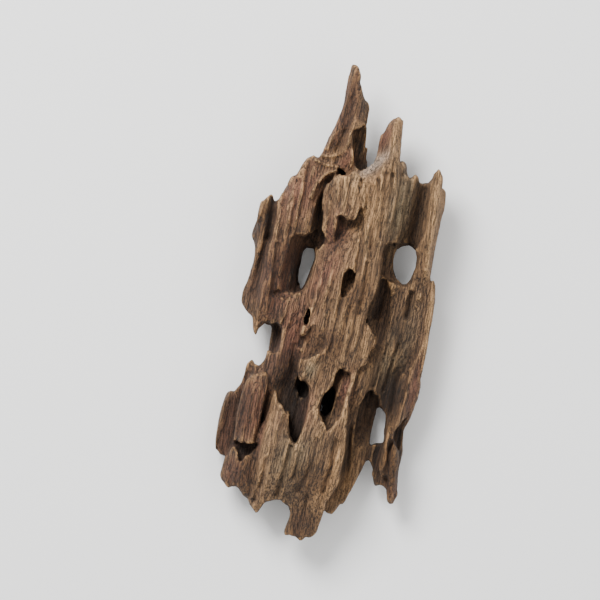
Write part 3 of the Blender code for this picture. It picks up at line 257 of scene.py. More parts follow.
class Wood:
    """The growing field, with the grid that it is worked out on."""

    def __init__(self, step):
        self.x, self.y, self.z = grid_axes(step)
        self.step = step
        self.u = across_grain(self.x, self.y)
        self.back = self.heights(BACK)
        for line, half_width, depth in BACK_TROUGHS:
            self.back = self.back + depth * np.exp(-((line_distance(line, self.x, self.y) / half_width) ** 2))
        for x, y, half_width, half_length in FEET:
            away = ((self.u - across_grain(x, y)) / half_width) ** 2 + ((self.y - y) / half_length) ** 2
            near = np.exp(-away)
            self.back = self.back * (1 - near) - FOOT_DROP * near
        self.field = None

    def heights(self, spots):
        """The smoothest height map through places (x, y, z), stiffer along the grain than across it."""
        spots = np.array(spots, float)
        at = np.stack([across_grain(spots[:, 0], spots[:, 1]), spots[:, 1] * STIFF_ALONG], 1)
        square = ((at[:, None] - at[None]) ** 2).sum(2)
        tilt = np.column_stack([np.ones(len(at)), at])
        system = np.block([[bending(square), tilt], [tilt.T, np.zeros((3, 3))]])
        weights = np.linalg.solve(system, np.append(spots[:, 2], [0, 0, 0]))
        v = self.y * STIFF_ALONG
        height = weights[-3] + weights[-2] * self.u + weights[-1] * v
        for (spot_u, spot_v), weight in zip(at, weights):
            height = height + weight * bending((self.u - spot_u) ** 2 + (v - spot_v) ** 2)
        return height

    def add_stave(self, outline, top, seed, edge=EDGE, join=JOIN):
        """Joins on a stave: an outline with splintered ends, from the back up to a height map."""
        splinters = SPLINTER_LENGTH * noise(self.u / SPLINTER_PITCH, self.y / SPLINTER_RUN, 0.5, seed)
        outside = outline_distance(outline, self.x, self.y + splinters)
        above = self.z - self.heights(top)
        below = self.back - self.z
        stave = soft_max(soft_max(outside, above, edge), below, edge)
        self.field = stave if self.field is None else soft_min(self.field, stave, join)

    def cut_hollow(self, outline, floor=None, lip=LIP):
        """Cuts out what an outline holds, down to a floor given at three places or more, or right through."""
        hollow = outline_distance(outline, self.x, self.y) + 0 * self.z
        if floor is not None:
            hollow = soft_max(hollow, self.heights(floor) - self.z, EDGE)
        self.field = soft_max(self.field, -hollow, lip)

    def press(self, line, half_width, depth):
        """Presses a groove into the front along a line, or raises a ridge where the depth is negative."""
        nearness = np.exp(-((line_distance(line, self.x, self.y) / half_width) ** 2))
        front = np.clip((self.z - self.back - PRESS_FADE) / PRESS_FADE, 0, 1)
        self.field = self.field + depth * nearness * front

    def cut_bore(self, points, radius):
        """Cuts a round tunnel along places (x, y, z), as a borer leaves it."""
        nearest = np.inf
        for start, end in zip(points[:-1], points[1:]):
            way = np.subtract(end, start)
            away = [self.x - start[0], self.y - start[1], self.z - start[2]]
            t = np.clip(sum(a * w for a, w in zip(away, way)) / (way @ way), 0, 1)
            nearest = np.minimum(nearest, sum((a - t * w) ** 2 for a, w in zip(away, way)))
        self.field = soft_max(self.field, radius - np.sqrt(nearest), LIP)

    def crack(self, pitch, length, width, depth, seed):
        """Opens narrow checks along the grain, where a slow noise changes sign."""
        sign = noise(self.u / pitch, self.y / length, self.z / (CHECK_THICKNESS * pitch), seed)
        self.field = self.field + depth * np.clip(1 - np.abs(sign) / width, 0, 1)

    def roughen(self, pitch, length, depth, seed):
        """Wears the soft wood away between fibres, all round the piece."""
        ridges = noise(self.u / pitch, self.y / length, self.z / (RIDGE_THICKNESS * pitch), seed)
        self.field = self.field + depth * ridges


wood = Wood(STEP)
print("The grid has", [wood.x.size, wood.y.size, wood.z.size], "points")

# %% [markdown]
# ## The left sheet
#
# The whole left side is one sheet, a low step behind the front plank, with a broken strip along its edge.

# %% The left sheet
wood.add_stave(
    [(-17.2, 31.5), (-17.8, 32), (-18.2, 33), (-18.5, 34), (-19.8, 33), (-20.5, 32.5), (-22, 32),
     (-22.8, 30), (-23.8, 26), (-24.8, 22.5), (-25.2, 20.5), (-24.6, 19), (-24.4, 16), (-24.8, 13),
     (-25.7, 10), (-26.5, 7), (-27.8, 4), (-28.3, 1), (-28, -1.5), (-26.5, -3.5), (-25, -4.5), (-24.7, -7),
     (-24.5, -9.5), (-23.8, -11.2), (-23, -9.5), (-22, -8), (-20.5, -7.3), (-19, -8), (-19.6, -12),
     (-20.3, -15.5), (-20.9, -18), (-22.5, -19.5), (-24, -19.8), (-25.3, -19.2), (-26, -22), (-24, -30),
     (-20, -45), (-10, -50), (0, -40), (5, -25), (8, 0), (6, 12), (3, 19), (0, 24), (-6, 26), (-12, 26),
     (-15, 31)],
    [(-23.6, 27, 15), (-22, 28, 17), (-24.6, 18, 13.5), (-22.5, 18, 15), (-24.5, 10, 13.5), (-25.8, 4, 13),
     (-27.5, 0, 12.5), (-24.3, -6, 14.5), (-19.5, 28, 14.5), (-20.5, 20, 15), (-21.5, 10, 15),
     (-18.3, 14, 18), (-19.5, 6, 18), (-21.3, -2, 17), (-17, 24, 17.5), (-16.4, 12, 16.5), (-17.5, 3, 16),
     (-15, 2, 16.5), (-15.5, -5, 17), (-10.6, -2, 16.8), (-18.5, -6, 15.5), (-18.8, -17, 14),
     (-11.6, -8, 15.5), (-12.4, -14, 14.5), (-24, -20, 12), (-15, -17, 15), (-12.6, -21, 13),
     (-18.8, -26, 14.2), (-17, -26.6, 12.2), (-15.8, -23.6, 13.6), (-9, 3, 16.5), (-5, 8, 17), (0, -5, 17),
     (0, 14, 15), (0, 22, 14), (-8, 24, 16), (-5, -30, 10), (-11, -32, 8), (-18, -40, 11)],
    seed=11,
)

# %% [markdown]
# ## The upper left lobe
#
# Ridges fan out over this lobe and then swirl into the foot of the tall spike. A deep trough divides it from
# the front plank.

# %% The upper left lobe
wood.add_stave(
    [(-17.6, 30), (-16.5, 32.5), (-15.5, 35), (-14, 37.5), (-12.8, 39.5), (-10.5, 41), (-9, 43), (-7, 45.5),
     (-5.5, 46.2), (-4.5, 45.5), (-3.5, 45.2), (1, 44), (6, 40), (6, 30), (2, 20.5), (-3, 21), (-7, 20.6),
     (-11, 20.5), (-12.2, 18.5), (-13.5, 13), (-17, 8), (-20, 15)],
    [(-17.2, 30, 16.5), (-14, 35, 16.5), (-10.5, 40, 17.5), (-6.5, 44.5, 17), (-12.5, 31, 19),
     (-8.5, 37, 18.5), (-6, 41, 17.5), (-15.5, 24, 18.5), (-11.5, 24, 19), (-9, 28, 18.5), (-7, 23, 17.8),
     (-6, 29, 17.8), (-4.6, 34.5, 17.5), (-3.5, 40, 17), (-1, 43, 17), (-2, 45, 16), (2, 42.5, 16.5),
     (0, 38, 15), (-13, 18, 17.5), (-17, 14, 17.5), (-3, 25, 15.5)],
    seed=12,
)

# %% [markdown]
# ## The tall spike
#
# The hard core of a branch outlived the wood round it. It tapers to a thin broken tip.

# %% The tall spike
wood.add_stave(
    [(-3.5, 45.2), (-2.5, 47), (-1, 49.5), (0, 52), (1.5, 55), (3, 59), (4, 62.5), (4.7, 66), (5.2, 69),
     (5.3, 71), (6, 73.5), (7, 75.4), (8.5, 74), (9.5, 72.5), (9.7, 70.5), (9.3, 69), (9.6, 67), (10.3, 65),
     (11, 63.8), (12, 63.2), (12.4, 61.5), (12, 59), (11.5, 56), (11.2, 53), (11, 49.2), (12, 48.7),
     (11.8, 47), (11.6, 45), (12.2, 43.3), (12, 36), (4, 32), (0, 38), (-3, 42)],
    [(7, 75, 16), (7.5, 70, 17.5), (6, 67, 17), (8.5, 66, 18), (11.5, 62, 15.5), (7, 60, 18),
     (4, 58.5, 16.5), (10.5, 57, 17), (6, 54, 18), (3.5, 52, 16.5), (1, 51, 16.5), (2, 48, 15.8),
     (-1, 48, 16), (5.5, 49.5, 18.5), (4, 46, 17.5), (7, 45, 18.5), (5, 42, 16.5), (10, 50, 18),
     (-2, 45.5, 16), (2, 43, 16.5), (9, 40, 17), (0, 42, 16.5)],
    seed=13, edge=1.8,
)

# %% [markdown]
# ## The front plank
#
# The nearest and palest layer. It carries the second spike, whose left face is a hollow where wood tore off.

# %% The front plank
wood.add_stave(
    [(12.5, 42.6), (14, 45), (14.8, 47.5), (15, 49), (15.3, 51), (16, 53), (17.5, 54.3), (18.5, 56),
     (20, 57.3), (21.5, 58.3), (22.4, 58), (22.8, 57), (22.8, 55), (22.6, 52), (22.4, 49), (22.2, 46),
     (22.1, 44.5), (23, 44), (24, 43), (24.3, 42), (24.4, 40.5), (25.5, 40), (26.5, 40.6), (27.3, 40.3),
     (27.6, 39), (27.4, 36), (26.3, 30), (24, 22), (21, 18.2), (17.5, 17.5), (16.5, 13), (16.3, 8), (15, 3),
     (12, -4), (12.5, -8), (14.3, -11), (14, -14), (12.5, -17), (11.5, -20), (8, -21), (3, -26), (-3, -28),
     (-7.5, -27), (-9.8, -25), (-11, -20), (-9.7, -17), (-10, -15), (-8.5, -9), (-6.5, -3), (-9, 3.5),
     (-7.2, 8), (-6, 11.5), (-5.2, 14), (-5.4, 16), (-2, 19), (-1.5, 25), (-1, 33), (2, 38.5), (5.5, 39.8),
     (8, 40.7), (10.5, 41)],
    [(21.3, 57.5, 19.5), (20.2, 54.5, 20.8), (17.6, 53.5, 17.3), (22.3, 50, 19.5), (19.2, 50, 22),
     (16.2, 50, 16.8), (18.3, 46, 23), (21.5, 45, 21.5), (15.6, 46.5, 17.5), (15.8, 42, 24),
     (13.8, 43.6, 18.8), (12, 41.3, 21.5), (10.8, 39, 24), (23.3, 42.5, 19), (26.8, 38.5, 15.5),
     (22.5, 38, 20.5), (18, 38, 24.5), (25.8, 31, 14.5), (24, 24, 14.5), (22, 29, 19), (19.5, 30, 23),
     (21, 20, 18), (15, 30, 25), (12.5, 32, 25), (9, 35, 25), (3, 34, 23), (0, 30, 20), (4.5, 24, 20),
     (7.5, 23.5, 21), (2.5, 20, 20.5), (-0.5, 19, 18.5), (11.5, 24, 24.5), (15, 21, 24), (18.5, 19, 20.5),
     (5, 16, 23), (10.5, 14, 24.5), (15, 12, 22.5), (0, 14, 21), (-4, 14, 17.5), (-5.5, 9, 17.5),
     (-7.5, 4, 17), (-3, 5, 20.5), (2, 5, 23), (7, 4, 24.5), (12, 6, 24), (14.8, 4, 22), (-6.3, -2, 18.5),
     (-2, -5, 21), (4, -5, 24), (9, -4, 23.5), (11.5, -5, 21.5), (-8.5, -12, 19), (-4, -11, 20.5),
     (2, -13, 22.5), (8, -12, 23), (13, -11.5, 20.5), (-9.5, -19, 21), (-5.5, -18.3, 21.6), (-3, -19, 20.5),
     (2.5, -19, 21.5), (8, -19, 21), (12, -17.5, 19.5), (-8, -24, 19.5), (-3, -25, 18.5)],
    seed=14, edge=0.9, join=0.8,
)

# %% [markdown]
# ## The flap
#
# A last scrap of an outer layer still stands proud of the plank, with a ragged lower edge that throws a
# shadow. Its edge is sharper than the rest because it broke off late.

# %% The flap
wood.add_stave(
    [(0, 37.5), (-1.5, 36), (-2.3, 34), (-2.6, 30), (-2.5, 26), (-2.8, 22.5), (-1.8, 20.5), (-0.6, 18.5),
     (0.5, 17), (1.6, 18.5), (1.6, 21), (1.9, 24), (2.4, 26.8), (3.8, 26.7), (4.7, 25.6), (6.2, 25.4),
     (7.9, 25.6), (8.6, 27.4), (10.4, 28.8), (11.2, 32), (10.8, 36), (9.8, 39.5), (8, 40.8), (7, 41),
     (5.5, 39.8), (3, 40.2), (1.3, 39.2)],
    [(-2, 31, 21.5), (0, 35, 24), (2.5, 37, 26), (7, 38, 26.5), (10, 37, 26), (5, 31, 26.5), (9.5, 30, 26),
     (2.4, 28, 25.5), (0, 28, 23), (-1.6, 24, 21.5), (0.6, 22, 22), (5, 27, 26), (8, 27, 25.5),
     (0.4, 18, 20)],
    seed=15, edge=0.7, join=0.5,
)

# %% [markdown]
# ## The right rim
#
# A steep ridge stands along the right side, with a deep trough between it and the plank.

# %% The right rim
wood.add_stave(
    [(28.2, 37.8), (29.5, 37.3), (31, 37.5), (32.3, 38.5), (33, 40), (33.5, 41.4), (34.5, 41.4), (35.6, 40),
     (35.7, 38), (35.3, 35.7), (36, 35.3), (36.5, 34), (36.4, 32), (36, 29), (35.3, 26), (34.7, 23),
     (33.8, 19), (32.8, 15), (32, 11), (31.5, 8), (31.3, 6.3), (32, 5.8), (33, 5.5), (33.1, 3), (33, 0),
     (30, -5), (25, 0), (19, 3), (13, 6), (13, 14), (14, 22), (17, 32), (20, 39), (24, 40), (27.6, 39)],
    [(20, 30, 14), (25, 36, 14), (28.5, 35, 14), (27.5, 27, 13), (25, 20, 12), (31.5, 36, 16.5),
     (34, 40, 18.5), (33, 33, 20), (35.5, 33.5, 17.5), (31, 29, 18), (32.5, 25, 20.5), (34.6, 24, 17.5),
     (29.3, 19, 18), (31, 17, 20), (33, 16, 17), (28.4, 11, 17.5), (30.5, 10, 18.5), (27, 6.5, 15.5),
     (30, 4.5, 15.5), (32.5, 3, 14), (30, 0, 14), (24, 3.5, 13.5), (19, 7, 13), (20, 14, 12), (15, 12, 15)],
    seed=16, edge=1.1,
)

# %% [markdown]
# ## The right sheet and leg
#
# Below the rim the wood is a hollow sheet with long cracks, and it narrows into a leg.

# %% The right sheet and leg
wood.add_stave(
    [(14, 11), (16.4, 8.3), (17.8, 7.3), (19.2, 5.9), (21, 5), (24, 4.8), (27, 6), (31.3, 6.3), (33, 5.5),
     (33.1, 3), (33, 0), (32.8, -3), (32.2, -7), (31.5, -11), (31, -14), (30.3, -17), (29.3, -22),
     (28.2, -27), (27.2, -31.5), (26.5, -34), (25.3, -36.5), (24, -39), (23.2, -41.5), (23.2, -45),
     (23.3, -47.5), (22.8, -50), (22, -53), (21.7, -56), (21.8, -59), (22, -61), (21.4, -63), (20.3, -64.4),
     (18.9, -64.4), (18, -63), (17.9, -60.8), (17.3, -59.7), (16, -59), (14.5, -58.8), (13.5, -57),
     (12.8, -55.5), (12.9, -53.8), (12.6, -52.2), (12, -51.3), (11, -51.2), (6, -49), (2, -38), (0, -25),
     (5, -10), (8, 5)],
    [(15, 5, 12.5), (17.5, 7, 14.5), (19.6, 4.5, 15.5), (22.5, 3.6, 13.5), (26, 4, 15), (31, 3, 14),
     (18, 0, 13), (14, -3, 11.5), (22, 0, 13.5), (26, -2, 13.5), (31, -5, 14.5), (15.5, -8, 12),
     (20, -10, 12.8), (25, -10, 12.8), (30, -12, 14), (14, -16, 13), (17, -18, 12.6), (20.5, -18, 12.2),
     (24.5, -17, 11.5), (28.7, -18, 14), (12, -21, 16.5), (9, -25, 18), (15, -25, 12.5), (18.5, -25, 10),
     (21.8, -25, 9), (27.5, -26, 13), (12.5, -26.5, 15), (8, -31, 16.5), (16, -31, 10), (19.5, -31, 8.5),
     (26.3, -32, 12.5), (18.3, -36, 8.5), (24.5, -36, 11), (16.5, -42, 9.5), (22.3, -44, 9.5),
     (15, -48, 9.5), (14, -56, 9.5), (16.5, -58, 9.5), (22, -53, 10.5), (20, -58, 12), (19.5, -62.5, 11.5),
     (10, -40, 11.5), (5, -30, 16), (12.5, -48, 10), (11.5, -50.5, 9.8), (8, -10, 14), (10, 5, 14)],
    seed=17, edge=1.1,
)

# %% The ridge down the leg
wood.add_stave(
    [(31.2, -9.5), (30.6, -13), (29.7, -18), (28.7, -23), (27.7, -29), (26.3, -34), (24.4, -36.5),
     (22, -39.5), (20.5, -42.5), (20.6, -46), (21.4, -48.5), (21.5, -51), (20.7, -54.5), (20.9, -58.5),
     (20.8, -62), (20, -63.6), (19.2, -62.3), (18.9, -59), (17.9, -56.3), (16.4, -55.4), (15.6, -53.5),
     (15.9, -49.5), (17, -45), (17.9, -41.5), (19.3, -37.5), (20.3, -33), (21.2, -28), (22.4, -24),
     (24.8, -20.6), (26.8, -17.6), (28.6, -14), (30.2, -10.6)],
    [(31, -10, 13.5), (29.2, -14.5, 14.5), (27.6, -17.4, 14.8), (25.7, -20.6, 15), (24.7, -25, 15.5),
     (23.8, -30, 15.8), (29.3, -19, 13.5), (28.3, -24, 13.2), (27, -30, 13), (22.7, -25.5, 12.5),
     (21.3, -30, 12.5), (20.3, -34.5, 13), (22.3, -35, 15.5), (25.5, -34, 13), (19.3, -41, 15.5),
     (18.3, -46, 16.5), (17, -52, 16), (20.6, -49, 16.5), (19.8, -54, 14.5), (16.3, -54, 14),
     (19.8, -58.5, 13), (20, -62.5, 12)],
    seed=23, edge=0.9, join=0.7,
)

# %% [markdown]
# ## The back tongue
#
# A lower layer that shows past the edge of the lower plank.

# %% The back tongue
wood.add_stave(
    [(2, -36), (8, -38), (12.6, -41), (12.4, -45), (11, -50.5), (10.2, -53.5), (8.5, -56.5), (7, -59.5),
     (5.8, -61.5), (4.2, -64), (2.5, -66), (1, -67.4), (-0.5, -67.6), (-1.9, -66.8), (-4, -62), (-4, -48)],
    [(6.5, -42, 12), (11, -44, 11), (5.8, -50, 11), (9.5, -51, 10.5), (5, -56, 10.5), (2, -61, 10),
     (0, -66, 9.5), (-2, -60, 11), (0, -45, 14)],
    seed=18,
)

# %% [markdown]
# ## The stub and the sliver
#
# An inner strip of redder wood, and a thin dark sliver behind it.

# %% The stub and the sliver
wood.add_stave(
    [(-24, -22.2), (-22, -21.9), (-20.5, -22.3), (-19.4, -24), (-19.4, -27), (-20, -31), (-21, -36),
     (-20, -45.5), (-25, -45.4), (-28, -44.9), (-31, -44.4), (-30.5, -41), (-30, -38), (-29.3, -34),
     (-28.5, -30), (-27.6, -27.5), (-26.5, -25)],
    [(-22.5, -22.6, 16.5), (-24, -29, 17.5), (-20.8, -30, 16.2), (-27.2, -29, 15.5), (-25.5, -37, 17.5),
     (-22.4, -38, 16), (-29, -39, 15.5), (-25.5, -44, 17), (-30, -44, 15), (-20.2, -35, 14.5),
     (-19.4, -27, 15.4)],
    seed=19, edge=1.0, join=0.8,
)
wood.add_stave(
    [(-31, -49.4), (-33, -48.8), (-34, -49), (-36, -48), (-36.4, -46), (-36.2, -43), (-35.6, -39),
     (-34.5, -34.5), (-32.9, -30), (-32, -28.3), (-29.5, -27), (-28, -24.5), (-26.5, -20.5), (-25.3, -19.2),
     (-24, -19.8), (-21, -24), (-22, -36), (-26, -48)],
    [(-25, -20.5, 12), (-27, -25, 10), (-31, -29, 9), (-28.5, -31, 8.5), (-34, -38, 8), (-30.7, -38, 7.5),
     (-35.5, -46, 7.5), (-32, -46, 7.5), (-33, -49, 7), (-25, -30, 11)],
    seed=20,
)

# %% [markdown]
# ## The lower plank
#
# It runs from a pointed flake down to a stump. The left edge is a pale fresh break.

# %% The lower plank
wood.add_stave(
    [(-17.6, -28.2), (-16.4, -31.3), (-15, -33), (-14.5, -34.3), (-12.9, -35.2), (-13.2, -37), (-12.8, -40),
     (-12.6, -42.6), (-11.4, -44.6), (-10, -42.8), (-8.8, -40), (-7.8, -36.5), (-7.2, -33), (-6.8, -30),
     (-7, -27), (-8.3, -24), (-9.5, -20), (-5, -17), (3, -17), (9, -19), (8, -24), (6, -30), (5.4, -38),
     (5.2, -44), (4.6, -49), (3.4, -54), (2.9, -58), (1, -60.5), (-1, -63), (-1.8, -66), (-2.5, -68),
     (-3.5, -71), (-4.5, -73.3), (-6, -74.3), (-8, -74.6), (-10, -75), (-11.5, -74.3), (-13, -74),
     (-14.7, -73.3), (-13.8, -71), (-12.9, -68), (-12.9, -66), (-13.5, -65), (-14.5, -64), (-16, -63.2),
     (-18, -63), (-20, -63.5), (-21.5, -64.5), (-22.7, -66), (-23.6, -66.8), (-24.3, -66), (-24.8, -64.5),
     (-25, -62), (-24, -58), (-23.8, -54), (-23.9, -49), (-22.9, -44), (-21.4, -38), (-19.5, -33)],
    [(-17.3, -29.2, 20), (-16.3, -32, 20.5), (-17.2, -35.5, 21), (-18.7, -40, 21.3), (-20.7, -46.5, 21.3),
     (-22, -54, 20), (-19.2, -34, 16.3), (-21, -38.5, 15.6), (-23.2, -46, 15.8), (-23.6, -53, 16.5),
     (-14, -40, 21), (-13, -46, 22.5), (-10, -48, 22.5), (-17, -50, 21), (-5.5, -35, 21.5), (-4, -42, 23),
     (-8, -44, 21.5), (2.5, -42, 22.5), (4.9, -41, 22.5), (1.5, -50, 22), (4.2, -49, 21.5), (-3, -50, 22.5),
     (-8, -54, 22.5), (-16, -57, 20), (-3, -57, 21), (2.6, -56, 20.5), (-8, -58.5, 21), (-20, -60, 18),
     (-24, -65, 15), (-14, -62, 17), (-18, -62, 16.5), (-9, -63, 17.5), (-2, -64, 18), (-9, -69, 16),
     (-4.5, -70, 15.5), (-10, -74.5, 14.5), (-13.5, -73, 13.5), (-5, -26, 19.5), (2, -22, 20), (7, -22, 20),
     (-1, -28, 19.5), (5.2, -31, 22), (5, -36, 23), (-6.5, -30, 19), (-23.5, -60, 17)],
    seed=21, edge=0.9, join=0.8,
)

# %% [markdown]
# ## The cheek
#
# A smooth rounded swelling at the lower left, which the plank runs into.

# %% The cheek
wood.add_stave(
    [(-29.5, -45.2), (-31.5, -46), (-33, -49), (-33.8, -50.3), (-34.4, -52), (-35.1, -54), (-35.1, -56),
     (-33.5, -58.1), (-32, -58.8), (-30, -58.5), (-29, -59.8), (-27.7, -61.5), (-26, -63), (-24.8, -64.5),
     (-20, -62), (-15, -55), (-17, -44), (-23, -43.5), (-26, -44.6)],
    [(-33.3, -50, 13), (-34.5, -55, 12), (-30.5, -50, 15), (-28, -53, 16.5), (-31, -57, 14),
     (-25, -53, 15.5), (-24.3, -47, 14.5), (-27.5, -60, 14.5), (-20, -55, 16), (-25, -62, 14),
     (-22, -49, 15), (-30, -46, 14)],
    seed=22, edge=1.3,
)

# %% [markdown]
# ## Long grooves
#
# The widest grooves are drawn one by one, because they divide the staves. Each is a line, half its width and
# its depth, and a negative depth raises a ridge. The rest come from chance.

# %% Long grooves
GROOVES = [
    ([(-18.1, 35), (-18.4, 27), (-19.8, 20)], 0.9, 4.8),
    ([(-19.6, 21), (-21.4, 15.5), (-23, 9), (-24.2, 2)], 1.0, 1.8),
    ([(-16.8, 18), (-17.2, 10), (-18.6, 2)], 0.8, 1.2),
    ([(-13.8, 36), (-15, 28), (-16.2, 20)], 0.8, 1.2),
    ([(-10.2, 38), (-11.2, 30), (-13, 22)], 0.8, 1.1),
    ([(-7, 42), (-8, 34), (-9.5, 27)], 0.8, 1.1),
    ([(9.8, 26), (10, 18), (8.5, 10)], 0.9, 1.4),
    ([(13.2, 36), (12.8, 24), (12.5, 14)], 0.8, 1.2),
    ([(17.6, 40), (17, 30), (15.8, 20)], 0.8, 1.0),
    ([(22.6, 40), (21.6, 32), (20.4, 24)], 0.8, 1.0),
    ([(18.3, -13.5), (16.2, -19.5), (13.5, -27)], 0.4, 1.3),
    ([(21.8, -13.5), (19.6, -19.5), (17, -28.5)], 0.4, 1.3),
    ([(24.4, -22.6), (23.2, -27), (22.2, -32)], 0.4, 0.7),
    ([(25.8, 2.2), (25, -1.5), (24.3, -5)], 0.9, 2.6),
    ([(28.2, 2), (28, 1)], 0.8, -0.8),
    ([(4.6, 53.5), (3.6, 50.5), (2, 47.6)], 0.8, 1.2),
    ([(7, 64), (6, 58), (5, 54)], 0.8, 1.0),
    ([(-12.5, -46), (-14.5, -54), (-17, -61)], 0.9, 1.5),
    ([(-4.5, -44), (-6, -52), (-10, -60)], 0.9, 1.3),
    ([(1.6, -44), (0.5, -52), (-2.5, -60)], 0.7, 1.2),
    ([(-20.5, -50), (-21.5, -57), (-24, -63)], 0.8, 1.4),
    ([(19, -44.5), (18.6, -49), (17.9, -54)], 0.7, 1.9),
    ([(18.6, -40), (17.4, -46), (16.2, -53)], 0.7, -0.7),
    ([(-6.2, 33), (-4.4, 37), (-1.6, 40), (2.6, 41.9)], 0.9, -1.5),
    ([(-4.6, 44.6), (-1.5, 43), (1.8, 42.6)], 0.6, -1.0),
    ([(-2.4, 46), (0.6, 45.8), (3.6, 47), (5.6, 50), (6.4, 53)], 0.7, -1.2),
    ([(-1.2, 48.3), (1.6, 53), (4, 59), (5.8, 66)], 0.8, -0.9),
    ([(-6.3, -2.6), (-8.4, -8), (-9.9, -15)], 0.7, -0.9),
    ([(-11.3, -14), (-12.2, -19), (-11.4, -23)], 0.8, 1.0),
    ([(-19.7, -29.5), (-21.4, -36), (-23.7, -44)], 0.45, 1.4),
    ([(6.2, -40), (5.8, -46), (4.6, -52), (3.6, -57), (1, -62)], 0.8, 1.6),
    ([(0.8, 36), (0.2, 30), (-0.6, 24)], 0.5, 0.6),
    ([(3.6, 38.6), (3.2, 33), (2.4, 28)], 0.5, 0.6),
    ([(6.6, 39.5), (6, 34), (5.4, 28)], 0.5, 0.8),
    ([(9.7, 38), (9.3, 32), (9.3, 27)], 0.5, 1.0),
    ([(15.2, 38), (14.6, 30), (13.6, 22), (12.6, 17)], 0.6, 1.2),
    ([(19.6, 40), (19, 32), (17.8, 24)], 0.6, 1.1),
    ([(2.6, 14), (0.8, 6), (-1.6, -3)], 0.6, 0.9),
    ([(0.6, 0), (-1.4, -8), (-3.4, -16)], 0.5, 0.8),
    ([(3.4, 0), (1.4, -9), (-0.8, -18)], 0.5, 0.9),
    ([(6.2, -2), (4.2, -10), (2.2, -18)], 0.5, 0.8),
    ([(9, 0), (7.2, -9), (5.2, -17)], 0.5, 0.9),
    ([(11.4, -6), (10, -12), (8.4, -18)], 0.5, 0.8),
    ([(11.6, 12), (10.6, 4), (9, -4)], 0.6, 1.2),
    ([(-1, 12), (-2.6, 4), (-4.6, -4)], 0.7, 0.9),
    ([(-9.6, -48), (-11.6, -56)], 0.7, 1.0),
    ([(-7.4, -62), (-8.6, -70)], 0.8, 1.0),
]
for line, half_width, depth in GROOVES:
    wood.press(line, half_width, depth)
print("Grooves and ridges:", len(GROOVES))

# %% [markdown]
# ## Holes and hollows
#
# Rot and borers open the wood in three ways: right through, down to a rough floor, and as round tunnels
# inside it. Cutting them from the field keeps the piece one closed solid.

# %% The hole at the upper left
wood.cut_hollow(
    [(-7, 17.3), (-5.5, 16.2), (-5.2, 14), (-6, 11.5), (-7.2, 8), (-8.5, 5), (-9.7, 3.8), (-9.9, 5),
     (-10.3, 7), (-10.2, 10), (-9.6, 12), (-9.1, 14), (-8.4, 16)],
)
wood.cut_hollow(
    [(-12.4, 19.5), (-10.5, 20.8), (-8, 20.6), (-6, 21.6), (-4, 22.5), (-2.6, 21.5), (-2.2, 20), (-3.6, 18),
     (-5.3, 16.5), (-5.5, 13), (-7.4, 7), (-9, 3.8), (-12, 3.2), (-16.5, 3.8), (-15.2, 8), (-13.6, 13),
     (-12.6, 17)],
    [(-16.4, 5, 16.2), (-14.6, 11, 16), (-12.8, 17, 15.5), (-12.6, 7, 12.5), (-11.4, 13, 12),
     (-10.7, 7, 9.5), (-10, 13, 9), (-9, 19.5, 11), (-4, 20, 9.5), (-3.4, 22, 10), (-12, 4, 10.5),
     (-8, 4, 8.5)],
)

# %% The troughs beside the front plank
wood.cut_hollow(
    [(-7, 19.5), (-6.7, 22), (-6.2, 25), (-5.4, 28.5), (-4.2, 32), (-2.9, 35), (-1.5, 37.4), (-0.8, 37.4),
     (-1.5, 35.8), (-2.2, 33.5), (-2.5, 30), (-2.4, 26), (-2.7, 22.5), (-1.9, 20.5), (-3, 17.5), (-6, 16)],
    [(-6.5, 22, 17), (-6, 26, 16.8), (-4.9, 30.5, 16.4), (-1.2, 37, 17), (-2.6, 34.5, 15), (-4.2, 21, 12),
     (-3.6, 26, 12.5), (-3.1, 31, 13), (-4, 16.5, 10)],
    lip=0.6,
)
wood.cut_hollow(
    [(26.5, 40), (28, 38.2), (29.6, 37.4), (31.1, 37.3), (31.3, 34), (30.9, 29), (30.1, 25), (29, 20.5),
     (27.6, 17), (25, 16.5), (21, 17), (20.3, 20), (21, 25), (22.2, 30), (23.6, 35), (25, 39)],
    [(29.5, 37.5, 12), (27.6, 37, 14), (25.3, 36, 18), (23.2, 29, 18.5), (21.4, 21, 17.5), (26, 30, 14),
     (24.4, 22, 12.5), (30.3, 30, 10.5), (28.4, 29, 10), (27, 22, 9), (28.4, 20.5, 10), (25, 18, 9)],
)

# %% The hole at the upper right
wood.cut_hollow(
    [(22.3, 17.2), (25.3, 17.6), (27, 15.8), (27.2, 14), (26.8, 11), (26, 8.5), (25, 6.3), (24, 5.2),
     (22.6, 5.2), (21.4, 6.5), (20.4, 8), (20.1, 11), (20.2, 13.5), (21, 15.8)],
)
wood.cut_hollow(
    [(21, 18), (18, 17.6), (16.8, 14.5), (16.3, 9.5), (16.6, 8.4), (18, 7.6), (19.5, 6.3), (21, 5.6),
     (23, 5.2), (26, 8), (27, 13), (25.5, 18)],
    [(17, 14, 11.5), (17.2, 9.5, 12.5), (19.5, 15, 12), (19.8, 8, 12.5), (24, 17, 8), (25.5, 8, 12.5)],
)
wood.cut_hollow(
    [(15.9, 6.8), (16.8, 6.9), (17.9, 5.8), (18.7, 4), (18.8, 1), (18.2, -2.5), (16.5, -5.5), (13.4, -5.5),
     (13.2, -3.5), (14.7, 0), (15.4, 4)],
    [(15.6, 5, 11.3), (18.3, 4, 12), (15, -2, 10.3), (18.2, -2, 12.3), (14.5, -5.5, 11)],
    lip=0.5,
)

